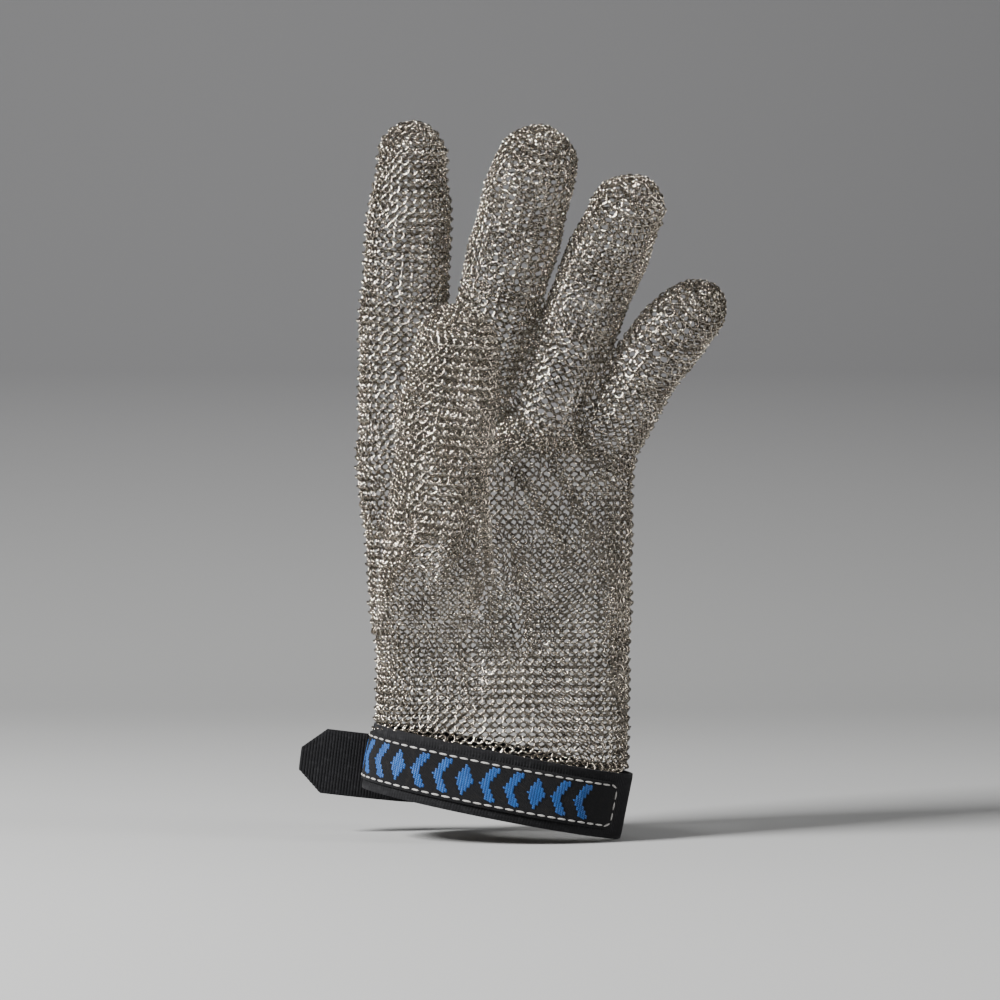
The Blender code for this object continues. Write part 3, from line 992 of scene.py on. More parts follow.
@dataclass
class Weaver:
    """Lays rows of rings round the tubes and makes their meshes."""

    skin: Skin
    pitch: float = 3.66 * MM
    row_pitch: float = 1.85 * MM
    ring_radius: float = 1.70 * MM
    wire_radius: float = 0.30 * MM
    face_lean_deg: float = -24.0
    edge_lean_deg: float = 44.0
    twist_deg: float = 9.0
    fold_turn_deg: float = 46.0
    seam_overlap: float = 0.15 * MM
    search: float = 9.0 * MM
    probe: float = 0.4 * MM
    settle_steps: int = 7
    weld_size: float = 1.22
    lean_wander_deg: float = 5.0
    twist_wander_deg: float = 4.0
    out_wander: float = 0.12 * MM
    side_wander: float = 0.10 * MM
    ring_sides: int = 12
    wire_sides: int = 5
    seed: int = 7
    rng: np.random.Generator = field(init=False)

    def __post_init__(self) -> None:
        """Makes the plain ring that every other one is copied from."""
        self.rng = np.random.default_rng(self.seed)
        self.ring_points, self.ring_faces = self.plain_ring()

    def plain_ring(self) -> tuple:
        """Makes one ring, with the small weld that closes its wire.

        Returns:
            Its points and its faces.
        """
        deselect_all()
        bpy.ops.mesh.primitive_torus_add(
            major_segments=self.ring_sides,
            minor_segments=self.wire_sides,
            major_radius=self.ring_radius,
            minor_radius=self.wire_radius,
        )
        ring = bpy.context.object
        points = place_of(ring)
        angle = np.arctan2(points[:, 1], points[:, 0])
        weld = np.abs(angle) < 0.6 * math.pi / self.ring_sides
        core = np.stack([np.cos(angle), np.sin(angle), 0 * angle], axis=1) * self.ring_radius
        points[weld] = core[weld] + (points[weld] - core[weld]) * self.weld_size
        faces = np.array([tuple(p.vertices) for p in ring.data.polygons])
        mesh = ring.data
        bpy.data.objects.remove(ring)
        bpy.data.meshes.remove(mesh)
        return points, faces

    def rows_of(self, tube: Tube) -> list:
        """Counts out the rows of rings along a tube.

        Args:
            tube: The tube to cover.

        Returns:
            Each row's number, distance along and share of the full size.
        """
        body_end = tube.length - tube.tip_cap
        rise_end = float(np.interp(body_end, tube.along, tube.rise))
        *_, size = tube.at(np.array([body_end]))
        quarter = math.pi / 2 * math.sqrt((size[0].mean() ** 2 + tube.tip_cap**2) / 2)
        first = int(math.ceil(tube.rise[0] / self.row_pitch))
        rows = []
        for number in range(first, first + 400):
            rise = number * self.row_pitch
            if rise <= rise_end:
                rows.append((number, float(np.interp(rise, tube.rise, tube.along)), 1.0))
                continue
            turn = (rise - rise_end) / quarter * math.pi / 2
            if turn > math.pi / 2 - 0.06:
                break
            rows.append((number, body_end + tube.tip_cap * math.sin(turn), math.cos(turn)))
        return rows

    def lay(self, tube: Tube) -> Rings:
        """Lays the rings of one tube where its own skin shows.

        Args:
            tube: The tube to cover.

        Returns:
            The rings.
        """
        body_end = tube.length - tube.tip_cap
        *_, sizes = tube.at(np.linspace(tube.foot_cap, body_end, 40))
        perimeters = math.pi * math.sqrt(2) * np.sqrt((sizes**2).sum(1))
        full = int(round(np.median(perimeters) / self.pitch))
        found = []
        for number, s, share in self.rows_of(tube):
            centre, axis, side, front, size = (v[0] for v in tube.at(np.array([min(s, body_end)])))
            centre = centre + axis * max(0.0, s - body_end)
            size = size * share
            turns = np.linspace(0, 2 * math.pi, 361)
            oval = np.stack([size[0] * np.cos(turns), size[1] * np.sin(turns)], axis=1)
            lengths = np.linalg.norm(np.diff(oval, axis=0), axis=1)
            walked = np.concatenate([[0], np.cumsum(lengths)])
            count = full
            if share < 1:
                count = max(3, min(full, int(round(walked[-1] / (self.pitch * 0.82)))))
            marks = (np.arange(count) + 0.5 * (number % 2)) / count * walked[-1]
            turn = np.interp(marks, walked, turns)
            flat = np.stack([size[0] * np.cos(turn), size[1] * np.sin(turn)], axis=1)
            points = centre + flat[:, :1] * side + flat[:, 1:] * front
            outward = unit(
                np.cos(turn)[:, None] / size[0] * side
                + np.sin(turn)[:, None] / size[1] * front
                + axis * (math.sqrt(max(0, 1 - share**2)) / tube.tip_cap if share < 1 else 0)
            )
            found.append((points, outward, np.tile(axis, (count, 1)), number, s, count))
        points = np.concatenate([f[0] for f in found])
        outward = np.concatenate([f[1] for f in found])
        axes = np.concatenate([f[2] for f in found])
        number = np.concatenate([np.full(f[5], f[3]) for f in found])
        along = np.concatenate([np.full(f[5], f[4]) for f in found])
        return self.settle(tube, points, outward, axes, number, along)

    def settle(
        self, tube: Tube, points: Array, outward: Array, axes: Array, number: Array, along: Array
    ) -> Rings:
        """Moves rings onto the skin and drops those that another tube covers.

        Args:
            tube: The rings' own tube.
            points: Where they start, on the tube's own surface.
            outward: Which way each may move.
            axes: The tube's axis at each ring.
            number: Each ring's row.
            along: How far along the tube each ring is.

        Returns:
            The rings that are left.
        """
        points = self.skin.crowd(points)
        moved = np.zeros(len(points))
        for _ in range(self.settle_steps):
            at = points + outward * moved[:, None]
            here = self.skin.merged(at, self.skin.distances(at))
            beyond = at + outward * self.probe
            slope = (self.skin.merged(beyond, self.skin.distances(beyond)) - here) / self.probe
            moved -= np.clip(here / np.clip(slope, 0.35, 1.5), -3 * MM, 3 * MM)
            moved = np.clip(moved, -self.search, self.search)
        at = points + outward * moved[:, None]
        own = self.skin.distances(at)
        left = self.skin.merged(at, own)
        others = np.min([d for name, d in own.items() if name != tube.name], axis=0)
        keep = (np.abs(left) < 0.5 * MM) & (own[tube.name] < others + self.seam_overlap)
        at, axes, number, along = at[keep], axes[keep], number[keep], along[keep]
        out = self.normals(at)
        across = np.cross(axes, out)
        weak = np.linalg.norm(across, axis=1) < 0.2
        across[weak] = np.cross(np.array([0.0, -1.0, 0.0]), out[weak])
        across = unit(across)
        up = np.cross(out, across)
        lean = np.where(number % 2 == 0, self.face_lean_deg, self.edge_lean_deg)
        return Rings(at, across, up, out, lean, along, self.skin.tightness(at))

    def normals(self, points: Array) -> Array:
        """Finds the skin's outward directions.

        Args:
            points: Points on the skin.

        Returns:
            One direction for each point.
        """
        reach = 1.2 * MM
        slopes = []
        for way in np.eye(3) * reach:
            ahead, behind = points + way, points - way
            slopes.append(
                self.skin.merged(ahead, self.skin.distances(ahead))
                - self.skin.merged(behind, self.skin.distances(behind))
            )
        return unit(np.stack(slopes, axis=1))

    def weave(self, name: str, rings: Rings, material: bpy.types.Material) -> bpy.types.Object:
        """Makes one piece of mail.

        Args:
            name: The piece's name.
            rings: Its rings.
            material: Its material.

        Returns:
            The dressed piece.
        """
        count = len(rings.centre)
        wander = self.rng.normal(0, 1, (count, 4))
        lean = np.radians(rings.lean + self.lean_wander_deg * wander[:, 0])
        turned = self.twist_deg + self.twist_wander_deg * wander[:, 1]
        twist = np.radians(turned + self.fold_turn_deg * rings.tight)
        up = rings.up * np.cos(lean)[:, None] + rings.out * np.sin(lean)[:, None]
        out = rings.out * np.cos(lean)[:, None] - rings.up * np.sin(lean)[:, None]
        across = rings.across * np.cos(twist)[:, None] + out * np.sin(twist)[:, None]
        out = np.cross(across, up)
        spin = self.rng.uniform(0, 2 * math.pi, count)
        x = self.ring_points[None, :, 0]
        y = self.ring_points[None, :, 1]
        z = self.ring_points[None, :, 2]
        x, y = (
            x * np.cos(spin)[:, None] - y * np.sin(spin)[:, None],
            x * np.sin(spin)[:, None] + y * np.cos(spin)[:, None],
        )
        centre = rings.centre + rings.out * (self.out_wander * wander[:, 2:3])
        centre = centre + rings.across * (self.side_wander * wander[:, 3:4])
        places = (
            centre[:, None]
            + x[..., None] * across[:, None]
            + y[..., None] * up[:, None]
            + z[..., None] * out[:, None]
        )
        size = len(self.ring_points)
        faces = (self.ring_faces[None] + np.arange(count)[:, None, None] * size).reshape(-1, 4)
        mesh = bpy.data.meshes.new(name)
        mesh.vertices.add(count * size)
        mesh.vertices.foreach_set("co", places.astype(np.float32).ravel())
        mesh.loops.add(faces.size)
        mesh.loops.foreach_set("vertex_index", faces.astype(np.int32).ravel())
        mesh.polygons.add(len(faces))
        mesh.polygons.foreach_set("loop_start", np.arange(len(faces), dtype=np.int32) * 4)
        mesh.polygons.foreach_set("use_smooth", np.ones(len(faces), bool))
        mesh.update(calc_edges=True)
        tone = mesh.attributes.new("ring_tone", "FLOAT", "POINT")
        tone.data.foreach_set("value", np.repeat(self.rng.random(count), size).astype(np.float32))
        self.unwrap(mesh, count)
        piece = bpy.data.objects.new(name, mesh)
        bpy.context.scene.collection.objects.link(piece)
        dress(piece, material)
        LOG.info("%s: %d rings", name, count)
        return piece

    def unwrap(self, mesh: bpy.types.Mesh, count: int) -> None:
        """Gives each ring its own square of a UV map.

        Args:
            mesh: The mail's mesh.
            count: How many rings it has.
        """
        per_row = int(math.ceil(math.sqrt(count)))
        cell = 1.0 / per_row
        ring, tube = np.divmod(np.arange(self.ring_sides * self.wire_sides), self.wire_sides)
        corner = np.array([[0, 0], [1, 0], [1, 1], [0, 1]])
        grid = np.stack([ring, tube], axis=1)[:, None] + corner[None]
        flat = grid / np.array([self.ring_sides, self.wire_sides]) * 0.9 + 0.05
        offset = np.stack(np.divmod(np.arange(count), per_row), axis=1) * cell
        places = flat[None] * cell + offset[:, None, None]
        layer = mesh.uv_layers.new(name="OFBake")
        layer.uv.foreach_set("vector", places.astype(np.float32).ravel())


# The mail


@dataclass
class DigitPlan:
    """A finger's or the thumb's half-sizes in millimetres, and the names of its parts and joints."""

    name: str
    parts: tuple
    joints: tuple
    depths: tuple
    widths: tuple
    socket: float = 26.0
    tip_cap: float = 13.0
    root_along: float = 0.0


FINGER_PARTS = ("base", "middle", "tip")
FINGER_JOINTS = ("knuckle", "middle_joint", "end_joint")


@dataclass
class Mail:
    """All of the glove's ring mail."""

    joints: dict
    digits: Sequence[DigitPlan] = (
        DigitPlan(
            "index", FINGER_PARTS, FINGER_JOINTS, (14, 14, 13, 9.8), (14.6, 16.5, 15.3, 11.6)
        ),
        DigitPlan(
            "middle", FINGER_PARTS, FINGER_JOINTS, (14, 14.4, 13.6, 11), (14.4, 15.4, 15.8, 13)
        ),
        DigitPlan(
            "ring", FINGER_PARTS, FINGER_JOINTS, (13.8, 14, 12.8, 10), (13.2, 14, 14.2, 11.6)
        ),
        DigitPlan(
            "little", FINGER_PARTS, FINGER_JOINTS, (12.8, 13, 12, 9.4), (11.6, 12.8, 12.8, 10.5)
        ),
        DigitPlan(
            "thumb", ("base", "tip"), ("knuckle", "end_joint"), (16.5, 16, 11.5), (17.5, 18.6, 13.6)
        ),
    )
    # Height, centre's x and y, half-width and half-depth, in millimetres.
    hand_sections: Sequence[tuple] = (
        (16, 3.2, 0, 48.6, 28.4),
        (34, 4.4, 0, 48.0, 27.8),
        (56, 4.4, 0, 47.6, 27.0),
        (66, 4.2, 0, 48.0, 26.2),
        (84, 3.6, 1, 49.6, 25.4),
        (110, 2.4, 3, 51.0, 22.4),
        (134, 1.6, 5, 52.3, 18.4),
        (152, 1.6, 6, 51.0, 14.0),
    )
    thenar_start: tuple = (-22, -3, 68)
    thenar_half_size: float = 20.0
    thenar_lead: float = 34.0
    hidden_in_cuff: float = 5.0 * MM
    socket_narrowing: float = 0.88
    wrist_blend: tuple = (42.0 * MM, 70.0 * MM)
    hand_starts: float = 71.0 * MM
    heel_ends: float = 106 * MM
    side_heights: tuple = (0.07, 0.15)
    side_depths: tuple = (0.0, 0.006)
    knuckle_blend: float = 9.0 * MM
    folds: Sequence[Fold] = (
        Fold((4, 140), (30, 96), 4.2, 2.8),
        Fold((-2, 134), (18, 92), -3.4, 2.8, 0.0),
        Fold((19, 142), (38, 104), 3.4, 2.6),
        Fold((13, 138), (33, 96), -3.0, 2.6, 0.0),
        Fold((-4, 116), (3, 62), 3.4, 2.8),
        Fold((2, 112), (9, 60), -2.8, 2.6, 0.0),
        Fold((8, 108), (16, 60), 2.2, 2.6),
        Fold((-37, 96), (-33, 44), 1.8, 3.0, 0.3),
        Fold((-14, 78), (-7, 40), 2.0, 3.0, 0.4),
        Fold((45, 118), (46, 42), 1.6, 2.6, 0.4),
        Fold((-35, 136), (-44, 106), -3.6, 2.8, 0.0),
        Fold((-1, 150), (14, 128), -3.0, 3.2, 0.0),
        Fold((-8, 124), (-16, 84), -2.6, 2.8, 0.0),
        Fold((-27, 96), (-22, 48), -2.0, 2.6, 0.0),
    )

    def joint_point(self, digit: DigitPlan, number: int) -> Array:
        """Returns where one of a digit's joints is."""
        return np.array(self.joints[f"{digit.name}_{digit.joints[number]}"]["pos_m"])

    def joint_axis(self, digit: DigitPlan, number: int) -> Array:
        """Returns the direction of one of a digit's joints."""
        return np.array(self.joints[f"{digit.name}_{digit.joints[number]}"]["axis"])

    def digit_line(self, digit: DigitPlan) -> Array:
        """Finds a digit's joints and its tip.

        Args:
            digit: Which finger, or the thumb.

        Returns:
            The points, from the root to the tip.
        """
        points = [self.joint_point(digit, n) for n in range(len(digit.joints))]
        shell = node_points(f"{digit.name}_{digit.parts[-1]}_mail")
        tip = shell[np.argmax(np.linalg.norm(shell - points[-1], axis=1))]
        return np.array([*points, tip])

    def finger_tube(self, digit: DigitPlan) -> Tube:
        """Shapes a finger's tube, from inside the hand to its tip.

        Args:
            digit: Which finger.

        Returns:
            The tube.
        """
        line = self.digit_line(digit)
        side = self.joint_axis(digit, 0)
        middle_of_hand = np.array([0.0, 0.0, -1.0])
        down = unit(middle_of_hand - side * (middle_of_hand @ side))
        socket = line[0] + down * digit.socket * MM
        socket[0] *= self.socket_narrowing
        points = np.concatenate([[socket], line])
        sizes = np.array([digit.widths, digit.depths]).T * MM
        sizes = np.concatenate([sizes[:1], sizes])
        digit.root_along = digit.socket * MM
        return Tube(
            digit.name,
            points,
            np.tile(side, (len(points), 1)),
            sizes,
            foot_cap=8 * MM,
            tip_cap=digit.tip_cap * MM,
            first_row_height=float(socket[2]),
        )

    def thumb_tube(self, digit: DigitPlan) -> Tube:
        """Shapes the thumb's tube, which rises out of the heel of the hand.

        Args:
            digit: The thumb's plan.

        Returns:
            The tube.
        """
        line = self.digit_line(digit)
        side = self.joint_axis(digit, 0)
        heading = unit(line[1] - line[0])
        start = np.array(self.thenar_start) * MM
        lead = line[0] - heading * self.thenar_lead * MM
        shares = np.linspace(0, 1, 7)[:-1, None]
        curve = start * (1 - shares) ** 2 + lead * 2 * shares * (1 - shares) + line[0] * shares**2
        points = np.concatenate([curve, line])
        full = np.array([digit.widths, digit.depths]).T * MM
        heel = self.thenar_half_size * MM * (1 - shares) + full[:1] * shares
        digit.root_along = float(np.linalg.norm(np.diff(points[:7], axis=0), axis=1).sum())
        return Tube(
            digit.name,
            points,
            np.tile(side, (len(points), 1)),
            np.concatenate([heel, full]),
            foot_cap=6 * MM,
            tip_cap=15 * MM,
            upright_to=116 * MM,
            first_row_height=float(start[2]),
        )

    def hand_tube(self) -> Tube:
        """Shapes the hand's own tube, from inside the cuff up to the fingers.

        Returns:
            The tube.
        """
        table = np.array(self.hand_sections) * MM
        points = table[:, [1, 2, 0]]
        side = np.tile([1.0, 0.0, 0.0], (len(points), 1))
        return Tube(
            "hand",
            points,
            side,
            table[:, 3:5],
            foot_cap=1 * MM,
            tip_cap=14 * MM,
            upright_to=1.0,
            rounding=6 * MM,
            first_row_height=float(points[0, 2]),
        )

    def build(self, material: bpy.types.Material, cuff: "CuffFrame") -> list:
        """Weaves every piece of the mail.

        Args:
            material: The steel wire.
            cuff: The cuff's place, which hides the mail's lower edge.

        Returns:
            The pieces.
        """
        plans = {plan.name: plan for plan in self.digits}
        tubes = {p.name: self.finger_tube(p) for p in self.digits if p.name != "thumb"}
        thumb = self.thumb_tube(plans["thumb"])
        hand = self.hand_tube()
        weaver = Weaver(Skin(hand, thumb, list(tubes.values()), self.folds))
        tubes["thumb"] = thumb
        mesh_of_hand = weaver.lay(hand)
        pieces = []
        on_hand = []
        for name, tube in tubes.items():
            rings = weaver.lay(tube)
            plan = plans[name]
            low = plan.root_along - 1.4 * self.knuckle_blend
            on_hand.append(rings.only(rings.along < low))
            pieces += self.weave_digit(weaver, plan, tube, rings.only(rings.along >= low), material)
        for rings in on_hand:
            mesh_of_hand = mesh_of_hand + rings
        pieces += self.weave_hand(weaver, mesh_of_hand, material, cuff)
        return pieces

    def weave_digit(
        self, weaver: Weaver, plan: DigitPlan, tube: Tube, rings: Rings, material: bpy.types.Material
    ) -> list:
        """Weaves a digit as one piece for each of its joints.

        Args:
            weaver: What makes the rings.
            plan: The digit's plan.
            tube: Its tube.
            rings: All its rings from just inside the hand on.
            material: The steel wire.

        Returns:
            The pieces, from the root on.
        """
        line = self.digit_line(plan)
        lengths = np.linalg.norm(np.diff(line, axis=0), axis=1)
        marks = plan.root_along + np.concatenate([[0], np.cumsum(lengths)])
        stretches = range(len(plan.parts) - 1)
        cuts = [-FAR, *((marks[n] + marks[n + 1]) / 2 for n in stretches), FAR]
        pieces = []
        for number in range(len(plan.parts)):
            mine = (rings.along >= cuts[number]) & (rings.along < cuts[number + 1])
            name = f"{plan.name}_{plan.joints[number]}_rings"
            piece = weaver.weave(name, rings.only(mine), material)
            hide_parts(f"{plan.name}_{plan.parts[number]}_mail")
            centre, axis, *_ = tube.at(np.array([marks[number]]))
            start = centre[0] - axis[0] * self.knuckle_blend
            end = centre[0] + axis[0] * self.knuckle_blend
            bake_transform(piece)
            pieces.append(piece)
        return pieces

    def weave_hand(
        self, weaver: Weaver, rings: Rings, material: bpy.types.Material, cuff: "CuffFrame"
    ) -> list:
        """Weaves the wrist and the hand.

        Args:
            weaver: What makes the rings.
            rings: All the rings that the digits' pieces don't take.
            material: The steel wire.
            cuff: The cuff's place.

        Returns:
            The pieces, the wrist first.
        """
        above = cuff.height_of(rings.centre) > cuff.width - self.hidden_in_cuff
        rings = rings.only(above)
        x, y, z = rings.centre.T
        low = z < self.hand_starts
        front = y < np.interp(z, self.side_heights, self.side_depths)
        pieces = []
        for name, mine in (("wrist_rings", low & front), ("wrist_back_rings", low & ~front)):
            wrist = weaver.weave(name, rings.only(mine), material)
            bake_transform(wrist)
            pieces.append(wrist)
        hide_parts("gauntlet_mail")
        heel = z < self.heel_ends
        parts = {
            "heel_rings": ~low & front & heel,
            "palm_rings": ~low & front & ~heel,
            "lower_back_rings": ~low & ~front & heel,
            "upper_back_rings": ~low & ~front & ~heel,
        }
        for name, mine in parts.items():
            piece = weaver.weave(name, rings.only(mine), material)
            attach(piece, "hand")
            pieces.append(piece)
        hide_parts("palm_mail")
        return pieces


# The cuff


@dataclass
class CuffFrame:
    """The cuff's tilted place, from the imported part."""

    upright: Array
    half_width: float = 0.0
    half_depth: float = 0.0
    width: float = 0.0

    def __post_init__(self) -> None:
        """Measures the band in its own frame."""
        self.side = unit(np.cross(np.array([0.0, 1.0, 0.0]), self.upright))
        band = self.local(node_points("cuff_band"))
        low, high = band.min(0), band.max(0)
        self.half_width = float(high[0] - low[0]) / 2
        self.half_depth = float(high[1] - low[1]) / 2
        self.width = float(high[2] - low[2])

    def local(self, points: Array) -> Array:
        """Carries points into the cuff's own frame.

        Args:
            points: Points of the glove's frame.

        Returns:
            The points there.
        """
        return np.stack(
            [points @ self.side, points[..., 1], points @ self.upright], axis=-1
        )

    def world(self, points: Array) -> Array:
        """Carries points out of the cuff's own frame.

        Args:
            points: Points of the cuff's frame.

        Returns:
            The points in the glove's frame.
        """
        return (
            points[..., :1] * self.side
            + points[..., 1:2] * np.array([0.0, 1.0, 0.0])
            + points[..., 2:] * self.upright
        )

    def height_of(self, points: Array) -> Array:
        """Returns how high points are above the cuff's lower edge."""
        return points @ self.upright


PathFunction = Callable[[Array], tuple]


@dataclass
class OvalPath:
    """A path round an oval, by distance from a starting angle."""

    half_width: float
    half_depth: float
    start_deg: float
    end_deg: float

    def __post_init__(self) -> None:
        """Measures the way round."""
        self.turns = np.radians(np.linspace(self.start_deg, self.end_deg, 1441))
        self.points = np.stack(
            [self.half_width * np.cos(self.turns), self.half_depth * np.sin(self.turns)], axis=1
        )
        steps = np.linalg.norm(np.diff(self.points, axis=0), axis=1)
        self.walked = np.concatenate([[0], np.cumsum(steps)])
        self.length = float(self.walked[-1])

    def __call__(self, s: Array) -> tuple:
        """Reads the path.

        Args:
            s: Distances along it.

        Returns:
            The points and the outward directions there.
        """
        turn = np.interp(s, self.walked, self.turns)
        points = np.stack([self.half_width * np.cos(turn), self.half_depth * np.sin(turn)], axis=1)
        out = np.stack([np.cos(turn) / self.half_width, np.sin(turn) / self.half_depth], axis=1)
        return points, unit(out)


@dataclass
class Ribbon:
    """Woven tape on edge along a path, ribbed across like the real weave."""

    name: str
    path: PathFunction
    length: float
    low: float
    high: float
    thickness: float
    rib_pitch: float = 1.15 * MM
    rib_depth: float = 0.14 * MM
    closed: bool = False
    columns: int = 0
    rows: int = 10
    half_width_at: Optional[Callable] = None

    def build(self, to_world: Callable) -> bpy.types.Object:
        """Makes the tape.

        Args:
            to_world: Carries local points to the glove's frame.

        Returns:
            The finished mesh.
        """
        columns = self.columns or int(self.length / self.rib_pitch * 4)
        deselect_all()
        bpy.ops.mesh.primitive_grid_add(x_subdivisions=columns, y_subdivisions=self.rows, size=1)
        piece = bpy.context.object
        piece.name = self.name
        piece.data.name = self.name
        flat = place_of(piece)
        s = (flat[:, 0] + 0.5) * self.length
        t = flat[:, 1] + 0.5
        self.lay_uv(piece, s, t)
        points, out = self.path(s)
        middle = (self.low + self.high) / 2
        half = np.full(len(s), (self.high - self.low) / 2)
        if self.half_width_at is not None:
            half = self.half_width_at(s)
        z = middle + (2 * t - 1) * half
        rib = np.cos(2 * math.pi * s / self.rib_pitch) * self.rib_depth
        edge = np.minimum(t, 1 - t) * (self.high - self.low)
        rib = rib * smooth_share((edge - 0.3 * MM) / (0.8 * MM))
        selvedge = 0.12 * MM * np.exp(-(((edge - 1.0 * MM) / (0.7 * MM)) ** 2))
        plane = points + out * (rib + selvedge)[:, None]
        set_places(piece, to_world(np.concatenate([plane, z[:, None]], axis=1)))
        add_modifier(piece, "SOLIDIFY", thickness=self.thickness, offset=0.0, use_even_offset=True)
        face_outwards(piece, 0.02 * MM if self.closed else 0.0)
        add_modifier(
            piece, "BEVEL", width=0.3 * MM, segments=2, limit_method="ANGLE",
            angle_limit=math.radians(50),
        )
        shade_smooth(piece, 60)
        return piece

    def lay_uv(self, piece: bpy.types.Object, s: Array, t: Array) -> None:
        """Lays the tape's UV map in metres.

        Args:
            piece: The flat grid.
            s: Each vertex's distance along.
            t: Each vertex's share across.
        """
        layer = piece.data.uv_layers.active or piece.data.uv_layers.new(name="Tape")
        corners = np.empty(len(piece.data.loops), np.int32)
        piece.data.loops.foreach_get("vertex_index", corners)
        places = np.stack([s[corners], t[corners] * (self.high - self.low)], axis=1)
        layer.uv.foreach_set("vector", places.astype(np.float32).ravel())


@dataclass
class Stitches:
    """Short stitches of thread, all copies of one."""

    name: str
    radius: float
    flatness: float = 0.75

    def build(self, centre: Array, along: Array, out: Array, length: Array) -> bpy.types.Object:
        """Makes all the stitches as one mesh.

        Args:
            centre: Each stitch's middle.
            along: The way it runs.
            out: The way out of the cloth.
            length: Its length.

        Returns:
            The finished mesh.
        """
        deselect_all()
        bpy.ops.mesh.primitive_uv_sphere_add(segments=8, ring_count=6, radius=1.0)
        stitch = bpy.context.object
        points = place_of(stitch)
        points[:, :2] *= np.sqrt(np.clip(1.18 - 0.18 * points[:, 2:] ** 2, 0, 2))
        faces = [tuple(p.vertices) for p in stitch.data.polygons]
        mesh = stitch.data
        bpy.data.objects.remove(stitch)
        bpy.data.meshes.remove(mesh)
        side = unit(np.cross(along, out))
        out = np.cross(side, along)
        places = (
            centre[:, None]
            + points[None, :, 0:1] * (side * self.radius)[:, None]
            + points[None, :, 1:2] * (out * self.radius * self.flatness)[:, None]
            + points[None, :, 2:3] * (along * (length / 2)[:, None])[:, None]
        )
        size = len(points)
        made = bpy.data.meshes.new(self.name)
        every = [
            tuple(corner + number * size for corner in face)
            for number in range(len(centre))
            for face in faces
        ]
        made.from_pydata(places.reshape(-1, 3).tolist(), [], every)
        made.update()
        piece = bpy.data.objects.new(self.name, made)
        bpy.context.scene.collection.objects.link(piece)
        face_outwards(piece)
        shade_smooth(piece)
        return piece


class Motif(Enum):
    """The plain figures of the woven label."""

    CHEVRONS = "chevrons"
    DIAMOND = "diamond"

    def covers(self, x: Array, y: Array) -> Array:
        """Tells which places of its field, from -1 to 1 each way, a figure covers.

        Args:
            x: Places along the label.
            y: Places across it.

        Returns:
            A mask.
        """
        across = np.abs(y)
        if self is Motif.CHEVRONS:
            return np.mod(x + 0.9 * across + 4.0, 2.0) < 0.85
        return 1.15 * np.abs(x) + across < 1.0


